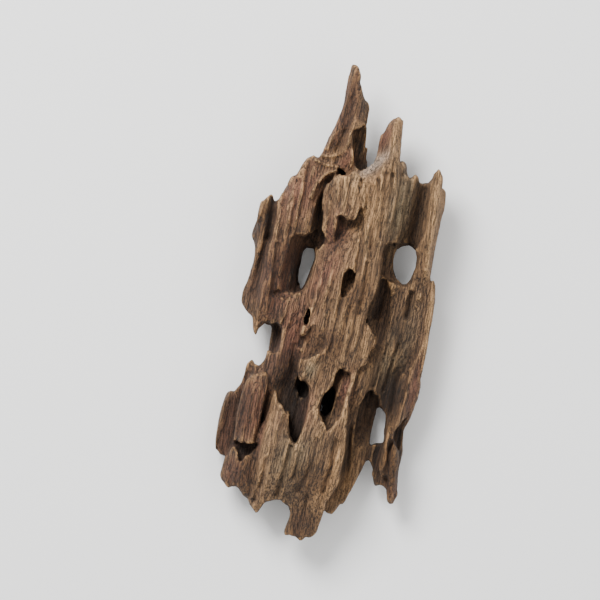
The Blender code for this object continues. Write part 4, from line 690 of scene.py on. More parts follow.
# %% The window beside the leg
wood.cut_hollow(
    [(15.5, -33.8), (17, -35), (17.6, -36), (17.4, -39), (16.8, -42), (16.4, -44.6), (14.5, -45),
     (13, -45.2), (13.4, -42), (14.3, -38), (15, -35.2)],
)
wood.cut_hollow(
    [(13, -28.3), (11.2, -29.8), (9.6, -33), (8.5, -37), (7.7, -41), (7.3, -46), (7.6, -50), (9.5, -51.5),
     (11.4, -49), (12.6, -46), (13.4, -43.5), (14.6, -38), (15.2, -34), (14.8, -30.5)],
    [(12.5, -30, 9), (10, -34, 7.5), (9, -39, 8), (13, -36, 5.5), (12.4, -42, 8), (9.5, -44, 9.6),
     (12, -46.5, 10.4), (9, -50, 12.8)],
)

# %% The window in the tall spike
wood.cut_hollow(
    [(6.9, 53.7), (8, 54.4), (10, 54.8), (12.5, 54.5), (15, 52), (14.5, 46), (12.3, 42.6), (10, 41.4),
     (8.7, 41.6), (7.7, 44), (7.1, 47), (6.7, 50.5)],
    [(7, 53, 12.5), (11, 53, 12), (8, 44, 11.5), (12, 45, 10.5)],
)
wood.cut_hollow(
    [(2.4, 41.8), (3.3, 41.4), (5, 40.5), (4.6, 39.8), (3.4, 40.2), (2.6, 40.6)],
    [(2, 41, 9), (5, 41, 9), (4, 39, 9)],
)

# %% The scoop and the oval pit
wood.cut_hollow(
    [(2.4, 24), (2.7, 26.5), (3.8, 26.4), (4.7, 25.4), (6.2, 25.2), (7.8, 25.3), (8.9, 26), (9.8, 23),
     (9.3, 18), (7.5, 12), (3.5, 11), (1.4, 14), (1.9, 18), (2.2, 22)],
    [(3, 25.5, 18.5), (7, 25, 19), (9.3, 23.5, 22.5), (2.8, 21, 19.5), (5, 21, 20.5), (8.3, 19, 23),
     (2.4, 17, 21), (4.4, 17, 22.4), (7, 14.5, 25), (2.4, 13, 24)],
    lip=0.5,
)
wood.cut_hollow(
    [(6.6, 9.9), (5.4, 9.2), (4.2, 7.2), (3.6, 4.5), (3.7, 2.4), (4.5, 1.5), (5.7, 2.1), (6.9, 4.3),
     (7.6, 6.8), (7.6, 9)],
    [(6.3, 8.8, 18), (4.2, 4, 19), (7, 6, 18.6), (5, 2.2, 20.5)],
)

# %% The recesses, the pocket and the bite
wood.cut_hollow(
    [(-15, -25.6), (-12.5, -26.8), (-10.4, -25.6), (-8.4, -25.4), (-6.8, -27.5), (-7, -30), (-7.3, -33),
     (-8, -37), (-9, -40), (-10.2, -43), (-11.4, -44.6), (-12.6, -42.8), (-12.9, -39), (-12.9, -35.5),
     (-14.5, -34.2), (-15.6, -31), (-17, -28.3)],
    [(-16.4, -27.5, 12.5), (-15, -25.6, 13), (-12.5, -26.5, 12.6), (-10.6, -26, 12), (-15, -32, 10.5),
     (-12.5, -30, 10.5), (-7.4, -32, 15), (-12.5, -38, 10.5), (-8.6, -37, 15), (-11.5, -43.5, 12)],
)
wood.cut_hollow(
    [(3, -21.4), (1.6, -23.5), (0.9, -26), (-0.5, -28), (-2.5, -30.5), (-3.4, -33.5), (-2.8, -37),
     (-1.5, -39.5), (-0.5, -40.4), (1, -39), (2.4, -36.5), (3.6, -33), (5, -28), (6.2, -25), (5.6, -22.6),
     (4.4, -22.4)],
    [(3.3, -22.5, 15), (4.8, -26, 17.5), (2.5, -26, 16.5), (0.6, -28, 14.5), (-1.5, -33, 12),
     (3.2, -31, 16.5), (1.4, -36, 14.5), (-1.8, -37, 14), (-0.6, -39.5, 16)],
)
wood.cut_hollow(
    [(-30.3, -44.7), (-29.8, -47), (-29.2, -50), (-28, -50.7), (-26.8, -49), (-25.5, -48.3), (-24.3, -46.8),
     (-23.3, -45.4), (-25, -45.2), (-27.5, -45)],
    [(-30, -45, 8.5), (-24, -46, 10), (-28.5, -50, 9.5)],
    lip=0.5,
)
wood.cut_hollow(
    [(-21.5, -7.2), (-19.5, -7), (-17.2, -7.2), (-16, -9), (-16, -12.5), (-17.2, -15.8), (-19.4, -15.6),
     (-20.6, -12), (-22.3, -9)],
    [(-21, -8, 7), (-16.6, -9, 8.5), (-17.8, -15, 9.5)],
)

# %% The black holes
wood.cut_hollow(
    [(-8.7, -25.2), (-7.5, -26), (-7, -27.7), (-7.4, -30), (-8.6, -30.8), (-10, -30), (-10.4, -27.9),
     (-9.9, -26)],
    [(-9, -25, 3.8), (-8, -30, 4.5), (-10, -28, 4)],
)
wood.cut_hollow(
    [(0.4, -27.6), (1.4, -29), (1.3, -31.5), (0.4, -34.3), (-1.4, -35.9), (-3, -35.4), (-3.3, -33),
     (-2.4, -30.4), (-0.8, -28.4)],
    [(0.5, -28, 4), (-2, -35, 5), (1, -32, 4.5)],
)
wood.cut_hollow(
    [(-10, -15), (-9.3, -17.2), (-7.8, -18.2), (-5.8, -17.8), (-3.8, -16.4), (-2, -13.4), (-2.6, -8.5),
     (-4.8, -5.5), (-6.4, -8), (-8.2, -11.8)],
    [(-9, -15, 16.3), (-5, -16.3, 16.3), (-2.8, -12, 19), (-6.5, -9, 17.5), (-4.6, -6, 20.5)],
    lip=0.3,
)

# %% The slits
wood.cut_hollow(
    [(-6.9, -2.6), (-6.3, -3.6), (-6.8, -5.6), (-7.6, -7.4), (-8.4, -7.7), (-8.4, -6.4), (-7.7, -4.2)],
    [(-7, -3, 13), (-8, -7, 15), (-6, -5, 13)],
    lip=0.5,
)
wood.press([(-8.2, -8.8), (-9, -10)], 0.9, -1.0)
wood.press([(-9.1, -11.6), (-9.6, -14)], 0.8, 1.8)

# %% Borers' tunnels
TUNNELS = [
    ([(-7.6, -6, 13), (-8.4, -12, 10), (-9.5, -26, 9)], 1.1),
    ([(-8.8, -27.7, 9), (-7, -20, 8), (-4, -8, 8)], 1.9),
    ([(-0.6, -31, 10), (1.5, -20, 9), (4, -8, 8.5)], 2.2),
    ([(12.5, -33, 8), (11, -24, 8), (12, -12, 6.5)], 1.8),
    ([(-14.2, 2.4, 15.6), (-17.6, 2.8, 15)], 0.8),
    ([(-10.5, 8, 6), (-13, 0, 5.5), (-14, -12, 5)], 1.6),
    ([(3, -12, -2), (4, -16, 4), (5, -26, 7)], 1.5),
    ([(12, 30, -2), (11, 26, 4), (9, 14, 7)], 1.7),
    ([(-12, -52, -2), (-13, -48, 4), (-13, -38, 4)], 1.4),
    ([(-20, 22, -2), (-19, 18, 8)], 1.2),
]
for way, radius in TUNNELS:
    wood.cut_bore(way, radius)
print("Tunnels:", len(TUNNELS))

# %% [markdown]
# ## Weathering
#
# The soft early wood of each year wears away faster than the hard late wood, and leaves ridges along the
# grain. Three sizes of noise stand for that: broad flutes, fibres, and the fine threads between them. Drying
# opens checks: narrow slots where a slow noise changes sign, so that each one runs on with the fibres. The
# finest are only as fine as the grid can carry, and the material draws what is finer.

# %% Weathering
for pitch, length, width, depth, seed in ((3.0, 30.0, 0.25, 0.4, 30), (1.9, 16.0, 0.3, 0.25, 34)):
    wood.crack(pitch, length, width, depth, seed)
for pitch, length, depth, seed in ((3.2, 28.0, 0.4, 31), (1.7, 12.0, 0.22, 32), (0.9, 6.0, 0.22, 33)):
    wood.roughen(pitch, length, depth, seed)
print("The field runs from", round(float(wood.field.min()), 1), "to", round(float(wood.field.max()), 1), "mm")

# %% [markdown]
# ## One closed body
#
# Where two parts of the wood would touch only at an edge or a corner, the mesh would pinch to nothing. Those
# places are filled first. Crumbs that hang in the air and bubbles that nothing can reach are dropped. Last,
# no grid point is left so close to the surface that a face there would shrink to a speck.

# %% Places that would pinch
def cell_corners(grid):
    """The eight corners of every cell of the grid, as eight views that line up."""
    places = {}
    for corner in np.ndindex(2, 2, 2):
        places[corner] = tuple(slice(d, n - 1 + d) for d, n in zip(corner, grid.shape))
    return places


def flipped(corner, axes):
    """The corner on the other side of its cell along the given axes."""
    return tuple(1 - d if axis in axes else d for axis, d in enumerate(corner))


def touching_corners(inside):
    """Where two parts of the wood, or of the air, touch only along an edge or at a corner."""
    places = cell_corners(inside)
    total = sum(inside[place].astype(int) for place in places.values())
    wrong = np.zeros(inside.shape, bool)
    for corner, place in places.items():
        here, opposite = inside[place], inside[places[flipped(corner, (0, 1, 2))]]
        lonely = (here & opposite & (total == 2)) | (~here & ~opposite & (total == 6))
        for other in places.values():
            wrong[other] |= lonely
        for first, second in ((1, 2), (2, 0), (0, 1)):
            ways = ((first, second), (first,), (second,))
            across, side, up = (places[flipped(corner, axes)] for axes in ways)
            checker = here & inside[across] & ~inside[side] & ~inside[up]
            wrong[side] |= checker
            wrong[up] |= checker
    return wrong & ~inside

# %% Crumbs
def largest_body(inside):
    """Keeps the largest piece: numbers spread through each piece until they stop changing."""
    label = np.where(inside, np.arange(1, inside.size + 1).reshape(inside.shape), 0)
    while True:
        before = label
        for axis in range(3):
            for shift in (1, -1):
                label = np.where(inside, np.maximum(label, np.roll(label, shift, axis)), 0)
        label = np.where(inside, label.ravel()[np.maximum(label, 1) - 1], 0)
        if (label == before).all():
            break
    names, counts = np.unique(label[inside], return_counts=True)
    return label == names[counts.argmax()]

# %% One closed body
CLEARANCE = 0.05


def settled(field):
    """Which grid points are in the one closed body, and the field made to agree with that."""
    inside = field < 0
    while True:
        wrong = touching_corners(inside)
        if not wrong.any():
            break
        inside = inside | wrong
    inside = ~largest_body(~largest_body(inside))
    return inside, np.where(inside, np.minimum(field, -CLEARANCE), np.maximum(field, CLEARANCE))

# %% [markdown]
# ## From field to mesh
#
# Marching cubes would be the usual way. Surface nets are simpler: one corner in each cell that the surface
# passes through, at the mean of its crossings, and one four-sided face round each crossed grid edge. They
# give even faces, which suits worn wood.

# %% From field to mesh
def surface_of(wood):
    """The corners (in mm) and the four-sided faces of the surface where the field is zero."""
    inside, field = settled(wood.field)
    shape = np.array(inside.shape)
    total = np.zeros((*(shape - 1), 3))
    count = np.zeros(shape - 1)
    crossings = []
    for axis in range(3):
        low = tuple(slice(0, n - 1) if a == axis else slice(0, n) for a, n in enumerate(shape))
        high = tuple(slice(1, n) if a == axis else slice(0, n) for a, n in enumerate(shape))
        place = np.argwhere(inside[low] != inside[high])
        near, far = field[low][tuple(place.T)], field[high][tuple(place.T)]
        point = place.astype(float)
        point[:, axis] += near / (near - far)
        first, second = (axis + 1) % 3, (axis + 2) % 3
        ring = []
        for back in ((1, 1), (0, 1), (0, 0), (1, 0)):
            cell = place.copy()
            cell[:, first] -= back[0]
            cell[:, second] -= back[1]
            np.add.at(total, tuple(cell.T), point)
            np.add.at(count, tuple(cell.T), 1)
            ring.append(cell)
        crossings.append((ring, inside[low][tuple(place.T)]))
    used = count > 0
    name = np.full(used.shape, -1)
    name[used] = np.arange(used.sum())
    origin = np.array([wood.x.ravel()[0], wood.y.ravel()[0], wood.z.ravel()[0]])
    points = origin + total[used] / count[used][:, None] * wood.step
    faces = []
    for ring, starts_inside in crossings:
        quads = np.stack([name[tuple(cell.T)] for cell in ring], 1)
        faces.append(np.where(starts_inside[:, None], quads, quads[:, ::-1]))
    return points, np.concatenate(faces)


points, faces = surface_of(wood)
print("The surface has", len(points), "corners and", len(faces), "faces")

# %% [markdown]
# ## Thinning out
#
# Flat stretches need fewer triangles than splinters do. The Decimate modifier merges the corners that change
# the shape least. Then the low spots are cut flat at the floor.

# %% Thinning out
TRIANGLES = 190_000


def thin_out(thing, triangles):
    """Leaves about so many triangles, with most of them where the shape needs them."""
    modifier = thing.modifiers.new("thin out", "DECIMATE")
    modifier.ratio = triangles / (2 * len(thing.data.polygons))
    modifier.use_collapse_triangulate = True
    graph = bpy.context.evaluated_depsgraph_get()
    mesh = bpy.data.meshes.new_from_object(thing.evaluated_get(graph))
    thing.modifiers.clear()
    thing.data = mesh


def cut_flat_feet(thing):
    """Cuts the low spots off at the floor, which leaves them flat."""
    shape = bmesh.new()
    shape.from_mesh(thing.data)
    everything = shape.verts[:] + shape.edges[:] + shape.faces[:]
    bmesh.ops.bisect_plane(shape, geom=everything, plane_co=(0, 0, 0), plane_no=(0, 0, 1), clear_inner=True)
    open_edges = [edge for edge in shape.edges if edge.is_boundary]
    bmesh.ops.holes_fill(shape, edges=open_edges, sides=0)
    bmesh.ops.triangulate(shape, faces=shape.faces[:])
    bmesh.ops.recalc_face_normals(shape, faces=shape.faces[:])
    shape.to_mesh(thing.data)
    shape.free()


mesh = bpy.data.meshes.new("dragon_wood_bark")
mesh.from_pydata((points * MM).tolist(), [], faces.tolist())
piece = bpy.data.objects.new("weathered_wood", mesh)
bpy.context.collection.objects.link(piece)
thin_out(piece, TRIANGLES)
cut_flat_feet(piece)
print("The piece has", len(piece.data.polygons), "triangles")

# %% [markdown]
# ## Where the wood is worn or stained, and where shade and a highlight are painted
#
# A material can only follow what it is given. A few numbers are worked out for each corner of the mesh:
#
# - `grain`, its place across the grain, along it and up, so that streaks run with the fibres on every side
# - `shelter`, how deep it lies below the wood round it, which sets the painted shade in hollows
# - how sharply it stands out, because handling and sand lighten the edges, and for painted shade in sunken
#   creases
# - red, tan, green, white, damp and rot, soft marks drawn as ovals that stand up or lean: red, tan and green
#   are stains, white is a painted highlight on a face turned to the light, damp is damp wood with painted
#   shadow beside the plank and the rim, and rot is dark rot with painted shade in the pits
#
# Rot and painted pit shade are strongest in the bored pits, and they fade out on wood that stands higher than
# 16 mm.

# %% Shelter, which sets painted shade
SHELTER_REACHES, SHELTER_DEPTH = (2.5, 5.0), 8


def evened(heights, cells):
    """A height map where each place has the mean of so many cells on either side of it."""
    side = 2 * cells + 1
    for axis in (0, 1):
        border = [(cells + 1, cells) if a == axis else (0, 0) for a in (0, 1)]
        summed = np.cumsum(np.pad(heights, border, mode="edge"), axis)
        ends = summed.take(range(side, summed.shape[axis]), axis)
        starts = summed.take(range(summed.shape[axis] - side), axis)
        heights = (ends - starts) / side
    return heights


def shelter_of(points):
    """How deep each place lies below the wood round it, in mm, from the height of every grid column."""
    solid = wood.field < 0
    highest = solid.shape[2] - 1 - solid[:, :, ::-1].argmax(2)
    top = np.where(solid.any(2), wood.z.ravel()[highest], 0.0)
    for reach in SHELTER_REACHES:
        top = evened(top, max(1, int(reach / STEP)))
    cells = [((points[:, k] - line.ravel()[0]) / STEP).astype(int) for k, line in ((0, wood.x), (1, wood.y))]
    i, j = (np.clip(cell, 0, count - 1) for cell, count in zip(cells, top.shape))
    return top[i, j] - points[:, 2]

# %% Wear, and painted shade in creases
STANDOUT_ROUNDS = 6


def read_rows(things, name, width=3, kind=float):
    """What every corner or edge of a mesh says under one name, as the rows of an array."""
    rows = np.empty(width * len(things), kind)
    things.foreach_get(name, rows)
    return rows.reshape(-1, width)


def wear_and_crease_shade_of(mesh, points):
    """How far each corner stands out from its neighbours, in mm, evened out over a few rings."""
    a, b = read_rows(mesh.edges, "vertices", 2, int).T
    normals = read_rows(mesh.vertices, "normal")
    links = np.bincount(a, minlength=len(points)) + np.bincount(b, minlength=len(points))
    smooth = points.copy()
    for _ in range(STANDOUT_ROUNDS):
        pulled = [
            np.bincount(a, smooth[b, k], len(points)) + np.bincount(b, smooth[a, k], len(points))
            for k in range(3)
        ]
        smooth = np.stack(pulled, 1) / links[:, None]
    return ((points - smooth) * normals).sum(1)

# %% Stains, a painted highlight and painted shade
def oval_mask(points, ovals):
    """How far inside any of the ovals (x, y, half width, half length, lean) each place is, from 0 to 1."""
    inside = np.zeros(len(points))
    for x, y, half_width, half_length, lean in ovals:
        along = points[:, 1] - y
        across = points[:, 0] - x - lean * along
        inside = np.maximum(inside, np.exp(-((across / half_width) ** 2) - (along / half_length) ** 2))
    return inside


STAINS = {
    "red": [
        (-10, 34, 6, 10, 0.4), (-17, 6, 7, 14, 0.2), (-13, -12, 6, 14, 0.2), (-25, -35, 6, 12, 0.15),
        (2, 22, 4, 6, 0.2), (-2, 8, 3.5, 8, 0.5), (16.9, 51.2, 2.2, 6, 0.39), (3, 60, 4, 12, 0.3),
        (-30, -53, 4, 5, 0.2), (4, -28, 3, 5, 0.2), (-21.8, -43, 1.4, 7, 0.22), (-32.5, -40, 2.5, 10, 0.2),
        (20, -60, 2, 4, 0.0), (-8.5, -35, 2.5, 6, 0.2), (26.5, -27, 2, 9, 0.2), (5, 44, 3, 4, 0.2),
    ],
    "tan": [
        (9, 37.6, 5.5, 4, 0.1), (18.2, -43.5, 0.9, 9, 0.2), (1.5, -52, 2.5, 8, 0.25),
        (13.9, -12, 0.8, 3.2, 0.0), (12.4, -16, 0.8, 2.6, 0.5), (1.5, 46.5, 1.6, 2.4, 0.4),
        (9.6, 39.2, 5, 1.6, -0.2), (13, 28, 5, 9, 0.15), (20.8, 46, 2, 11, 0.12), (33, 28, 3, 12, 0.15),
        (12, -13, 3.5, 5, 0.3), (-19.9, -41, 1.2, 13, 0.23), (-17.6, -30.5, 1.6, 3, 0.3),
        (8, 0, 5, 12, 0.3), (4, -58, 2.5, 8, 0.3), (20.3, -50.5, 0.8, 4, 0.1), (14, 44, 2.2, 3, 0.5),
        (-3, -62, 4, 5, 0.4), (32.3, 0, 0.9, 8, 0.05), (30.8, -13, 0.9, 8, 0.2), (-24, -5, 1.5, 5, 0.0),
        (19, 5, 1, 2.5, -0.6),
    ],
    "green": [
        (22.6, 30, 3.5, 12, 0.2), (-6.5, -21.5, 2, 3, 0.3), (-12, -52, 6, 9, 0.2), (20, -18, 4, 12, 0.3),
    ],
    # The white patch is a painted highlight, on the hollow left face of the second spike, where the key light
    # falls.
    "white": [(13.6, 43, 2.4, 3.6, 1.0)],
    # Damp darkens damp wood, and it also paints the shadow that the plank and the rim throw on the low sheets
    # beside them.
    "damp_and_shadow": [
        (-18, 8, 6, 15, 0.25), (19, -30, 6, 14, 0.3), (-32, -39, 4, 12, 0.15), (-29, -54, 5, 8, 0.1),
        (-9, -56, 8, 8, 0.1), (-10, -71, 5, 6, 0.1), (0, -13, 4.5, 4, 0.1), (16.3, -6, 3, 14, 0.05),
        (-16.5, -25.5, 3.5, 2.6, 0.0), (-28, -35, 4, 12, 0.15), (19, -50, 5, 14, 0.1), (8, 2, 5, 8, 0.3),
        (-15, -22, 6, 7, 0.1), (5.5, 63, 4, 11, 0.25), (2.4, 19.5, 2.2, 4.5, 0.1), (-23.4, 5, 5.5, 15, 0.1),
        (-23.5, 24, 3, 6, 0.1), (20, -52, 3.5, 11, 0.1), (22, -12, 3.5, 10, 0.2),
    ],
}
# Rot darkens rotten wood, and it also paints the shade in pits, grooves and the scoop under the flap.
ROT_AND_SHADE_OVALS = [
    (-11.5, -31, 5.5, 10, 0.0), (-18, -11, 3, 5, 0.0), (18.6, -30, 3.6, 8, 0.25), (22, -44, 1.6, 5, 0.0),
    (14.2, -48.5, 2.2, 6, 0.1), (-12, 8, 1.8, 5, 0.25), (9.2, 48, 1.4, 4, 0.1), (-28, -47, 3, 3, 0.0),
    (-18.9, 27, 1.4, 8, 0.15), (5, 24.5, 4, 2.5, 0.0),
]
# The two bored holes get the darkest painted shade.
BORED = [(-8.9, -28.6, 2.5, 4.6, 0.0), (-0.9, -31.8, 2.4, 4.8, 0.25)]

# %% Corner numbers
ROT_AND_SHADE_TOP, ROT_AND_SHADE_FADE, ROT_AND_SHADE_MOST = 20, 4, 0.95
ROT_AND_SHADE_STRENGTH, BORED_STRENGTH = 0.87, 1.2


def keep_number(mesh, name, values):
    """Stores one number, or three, for each corner of the mesh."""
    kind = "FLOAT" if values.ndim == 1 else "FLOAT_VECTOR"
    layer = mesh.attributes.new(name, kind, "POINT")
    layer.data.foreach_set("value" if kind == "FLOAT" else "vector", values.astype(np.float32).ravel())


mesh = piece.data
corners = read_rows(mesh.vertices, "co") / MM
x, y, z = corners.T
keep_number(mesh, "grain", np.stack([across_grain(x, y), y, z], 1))
keep_number(mesh, "shelter", np.clip(shelter_of(corners) / SHELTER_DEPTH, 0, 1))
keep_number(mesh, "wear_and_crease_shade", wear_and_crease_shade_of(mesh, corners))
for stain, ovals in STAINS.items():
    keep_number(mesh, stain, oval_mask(corners, ovals))
# Rot and painted shade together, strongest in the bored holes and fading out on high wood.
rot_and_shade = np.maximum(ROT_AND_SHADE_STRENGTH * oval_mask(corners, ROT_AND_SHADE_OVALS), BORED_STRENGTH * oval_mask(corners, BORED))
rot_and_shade = rot_and_shade * np.clip((ROT_AND_SHADE_TOP - z) / ROT_AND_SHADE_FADE, 0, 1)
keep_number(mesh, "rot_and_shade", np.clip(rot_and_shade, 0, ROT_AND_SHADE_MOST))
print("Numbers kept for each corner:", ["grain", "shelter", "wear_and_crease_shade", *STAINS, "rot_and_shade"])

# %% [markdown]
# ## Fitting to the solid model
#
# The solid model comes from the same shapes on a coarser grid, so the two differ by a fraction of a
# millimetre. Scaling this one to the same box makes them agree.

# %% Fitting to the solid model
low, high = corners.min(0), corners.max(0)
middle = np.array([(low[0] + high[0]) / 2, (low[1] + high[1]) / 2, 0])
spans = high - [low[0], low[1], 0]
fitted = (corners - middle) * [WIDTH, LENGTH, HEIGHT] / spans
fitted += [METRE / 2 * (cad_low[0] + cad_high[0]), METRE / 2 * (cad_low[1] + cad_high[1]), METRE * cad_low[2]]
mesh.vertices.foreach_set("co", (fitted * MM).ravel())
mesh.update()
mesh.shade_smooth()
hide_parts("dragon_wood")
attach(piece, "root")
print("Scaled by", np.round([WIDTH, LENGTH, HEIGHT] / spans, 4))

# %% [markdown]
# ## The material: weathered hardwood
#
# Dry old hardwood, grey-brown outside where light and water bleached it, and redder where a break is young.
# It has no lacquer, so the surface is matte: wood's own IOR of about 1.5 and a roughness near 0.8. Fine dark
# checks run along the grain, about 0.4 mm wide and 5 mm long, with pores and a few longer cracks between
# them. Real pores are finer than the picture can show, so they are drawn about 0.35 mm wide.
#
# Colours are written as sRGB hex, as a paint program shows them, and one function turns them to the linear
# numbers that light is worked out in.

# %% Colours
def linear(hex_colour):
    """sRGB hex to linear red, green, blue and alpha."""
    parts = [int(hex_colour[i : i + 2], 16) / 255 for i in (1, 3, 5)]
    return [c / 12.92 if c <= 0.04045 else ((c + 0.055) / 1.055) ** 2.4 for c in parts] + [1.0]


WOOD_BROWN = "#765739"
WOOD_DARK = "#4a3524"
# Painted shade for the lower layers, and the colour of damp wood.
SHADE_AND_DAMP_BROWN = "#3f2c1e"
HEARTWOOD_RED = "#784a3a"
BLEACHED_TAN = "#b68d60"
ALGAE_GREY = "#98896c"
CHECK_DARK = "#1d130b"
# Painted shade in pits and hollows, and the colour of rot.
ROT_AND_SHADE_DARK = "#150b05"
EDGE_PALE = "#c49a69"
# A painted highlight.
PAINTED_HIGHLIGHT_WHITE = "#ccb8a6"
# Multiplied over damp wood, as its darkening and as painted shadow.
DAMP_AND_SHADOW_TINT = "#dacbb6"

# %% [markdown]
# ## Nodes
#
# A material is a small graph. One helper adds a node, sets its options, and links or sets its inputs, so the
# rest reads like a recipe.

# %% A helper for nodes
weathered = bpy.data.materials.new("weathered_hardwood")
weathered.use_nodes = True
tree = weathered.node_tree
tree.nodes.clear()


def node(kind, inputs=None, output=0, **options):
    """Adds a node and gives one output. Each input is set to a value, or linked to another node's output."""
    made = tree.nodes.new(kind)
    for name, value in options.items():
        setattr(made, name, value)
    for key, value in (inputs or {}).items():
        if isinstance(value, bpy.types.NodeSocket):
            tree.links.new(value, made.inputs[key])
        else:
            made.inputs[key].default_value = value
    return made.outputs[output] if len(made.outputs) else None

# %% [markdown]
# ## Streaks, checks and pores
#
# All three are noise on the same grain coordinates, squeezed to a real size. The coordinates are in
# millimetres, so a streak 0.8 mm wide and 14 mm long is noise scaled by 1/0.8 across and 1/14 along.
#
# A mask says how much of something shows, from 0 to 1. It has one part or several, multiplied together. A
# part is a number, a node's output or the name of a number kept for each corner. It can also be a row that
# starts with one of these: then come the two values between which it counts and what it gives at either end.

# %% Streaks, checks and pores
def grain_noise(width, length, detail, roughness=0.55):
    """Fractal noise with marks of a given width and length, in mm, that run with the grain, from 0 to 1."""
    inputs = {0: grain, 1: (1 / width, 1 / length, 1 / width)}
    squeezed = node("ShaderNodeVectorMath", inputs, operation="MULTIPLY")
    inputs = {"Vector": squeezed, "Scale": 1.0, "Detail": detail, "Roughness": roughness}
    return node("ShaderNodeTexNoise", inputs, "Fac")


def mask(*parts):
    """How much shows: the parts multiplied together. A row is (value, low, high, at low, at high)."""
    amount = None
    for part in parts:
        value, *limits = part if isinstance(part, tuple) else (part,)
        if isinstance(value, str):
            value = node("ShaderNodeAttribute", output="Fac", attribute_name=value)
        if limits:
            names = ("From Min", "From Max", "To Min", "To Max")
            value = node("ShaderNodeMapRange", {"Value": value, **dict(zip(names, limits))})
        if amount is None:
            amount = value
        else:
            amount = node("ShaderNodeMath", {0: amount, 1: value}, operation="MULTIPLY")
    return amount


def long_slots(width, length, thickness):
    """Thin lines with soft sides, from 0 to 1, where a noise passes its middle value."""
    middle, core = 0.5, 0.3
    inputs = {0: grain_noise(width, length, detail=2), 1: middle}
    away = node("ShaderNodeMath", inputs, operation="SUBTRACT")
    away = node("ShaderNodeMath", {0: away}, operation="ABSOLUTE")
    return mask((away, thickness, thickness * core, 0.0, 1.0))


grain = node("ShaderNodeAttribute", output="Vector", attribute_name="grain")
height = node("ShaderNodeSeparateXYZ", {0: grain}, "Z")
streaks = grain_noise(width=0.8, length=14, detail=4)
broad = grain_noise(width=5, length=30, detail=2)
threads = grain_noise(width=0.4, length=5, detail=4, roughness=0.65)
pores = grain_noise(width=0.35, length=0.5, detail=2, roughness=0.65)
checks = mask((threads, 0.47, 0.39, 0.0, 1.0))
long_checks = long_slots(width=1.3, length=22, thickness=0.026)
print("Pattern nodes:", len(tree.nodes))

# %% [markdown]
# ## Colour, layer by layer
#
# Start from the brown, add the stains, then the streaks, the worn edges, the checks and pores, and the
# painted shade of the hollows last. Each layer is a colour with the parts of its mask. Painted shade also
# darkens the low layers, the sunken creases and the places beside the plank and the rim, and a painted
# highlight lights one face of the second spike. Damp wood and the low sheets are smoother in the photo, so
# `calm` and `low_calm` weaken the marks there. The damp layer multiplies what is below it, and the other
# layers cover it. A Mix node has sockets for numbers, vectors and colours: its colours go in at sockets 6 and
# 7 and come out at 2.

# %% Colour
COLOUR_BELOW, COLOUR_ABOVE, COLOUR_OUT = 6, 7, 2
low_calm = mask((height, 8.0, 13.0, 0.5, 1.0))
calm = mask(low_calm, ("damp_and_shadow", 0.0, 1.0, 1.0, 0.4))
LAYERS = [
    (WOOD_BROWN, (broad, 0.2, 0.5, 0.0, 1.0)),
    # Painted shade: the lower a place lies, the darker it gets.
    (SHADE_AND_DAMP_BROWN, (height, 19.0, 9.0, 0.0, 0.68), (height, 3.0, 8.0, 0.4, 1.0)),
    (HEARTWOOD_RED, "red", 0.8),
    (BLEACHED_TAN, "tan", 0.75),
    (ALGAE_GREY, "green", 0.7),
    # Damp wood, and painted shadow beside the plank and the rim.
    (SHADE_AND_DAMP_BROWN, "damp_and_shadow", 0.65),
    # Rot, and painted shade in the pits.
    (ROT_AND_SHADE_DARK, "rot_and_shade"),
    # A painted highlight on the face the key light falls on.
    (PAINTED_HIGHLIGHT_WHITE, "white", 0.85),
    (WOOD_DARK, (streaks, 0.5, 0.36, 0.0, 0.3)),
    (BLEACHED_TAN, (streaks, 0.55, 0.75, 0.0, 0.25), calm),
    (EDGE_PALE, ("wear_and_crease_shade", 0.09, 0.36, 0.0, 0.72), calm),
    # Painted shade in sunken creases.
    (WOOD_DARK, ("wear_and_crease_shade", -0.05, -0.3, 0.0, 0.55)),
    (BLEACHED_TAN, (threads, 0.56, 0.68, 0.0, 0.25), calm),
    (CHECK_DARK, checks, 0.68, low_calm),
    (CHECK_DARK, long_checks, 0.7, low_calm),
    (CHECK_DARK, (pores, 0.47, 0.36, 0.0, 0.72)),
    # Damp wood, and painted shadow, multiplied over what is below.
    (DAMP_AND_SHADOW_TINT, "damp_and_shadow"),
    # Painted shade in hollows, darker where a place lies lower than the wood round it.
    (ROT_AND_SHADE_DARK, ("shelter", 0.15, 0.9, 0.0, 0.68)),
]
base = linear(WOOD_DARK)
for colour, *parts in LAYERS:
    inputs = {"Factor": mask(*parts), COLOUR_BELOW: base, COLOUR_ABOVE: linear(colour)}
    blend = "MULTIPLY" if colour == DAMP_AND_SHADOW_TINT else "MIX"
    base = node("ShaderNodeMix", inputs, COLOUR_OUT, data_type="RGBA", blend_type=blend)
print("Layers of colour:", len(LAYERS))

# %% [markdown]
# ## Relief and finish
#
# Bump tilts the light without moving the surface. Each bump node starts from what the one before it gives.
# Its distance is in metres: the streaks rise by up to 0.6 mm, the pores and fine checks are 0.3 mm deep, and
# the long checks 0.4 mm.

# %% Relief and finish
WOOD_IOR = 1.5
between_checks = mask((checks, 0.0, 1.0, 1.0, 0.0))
between_long_checks = mask((long_checks, 0.0, 1.0, 1.0, 0.0))
tilt = {}
for relief, distance, strength in (
    (streaks, 0.0006, 0.8),
    (pores, 0.0003, 0.8),
    (between_checks, 0.0003, 1.0),
    (between_long_checks, 0.0004, 1.0),
):
    inputs = {"Height": relief, "Distance": distance, "Strength": strength, **tilt}
    tilt = {"Normal": node("ShaderNodeBump", inputs)}
finish = {"Base Color": base, "Roughness": mask((streaks, 0.3, 0.7, 0.9, 0.74)), "IOR": WOOD_IOR, **tilt}
node("ShaderNodeOutputMaterial", {"Surface": node("ShaderNodeBsdfPrincipled", finish)})
mesh.materials.clear()
mesh.materials.append(weathered)
print("Material nodes:", len(tree.nodes))
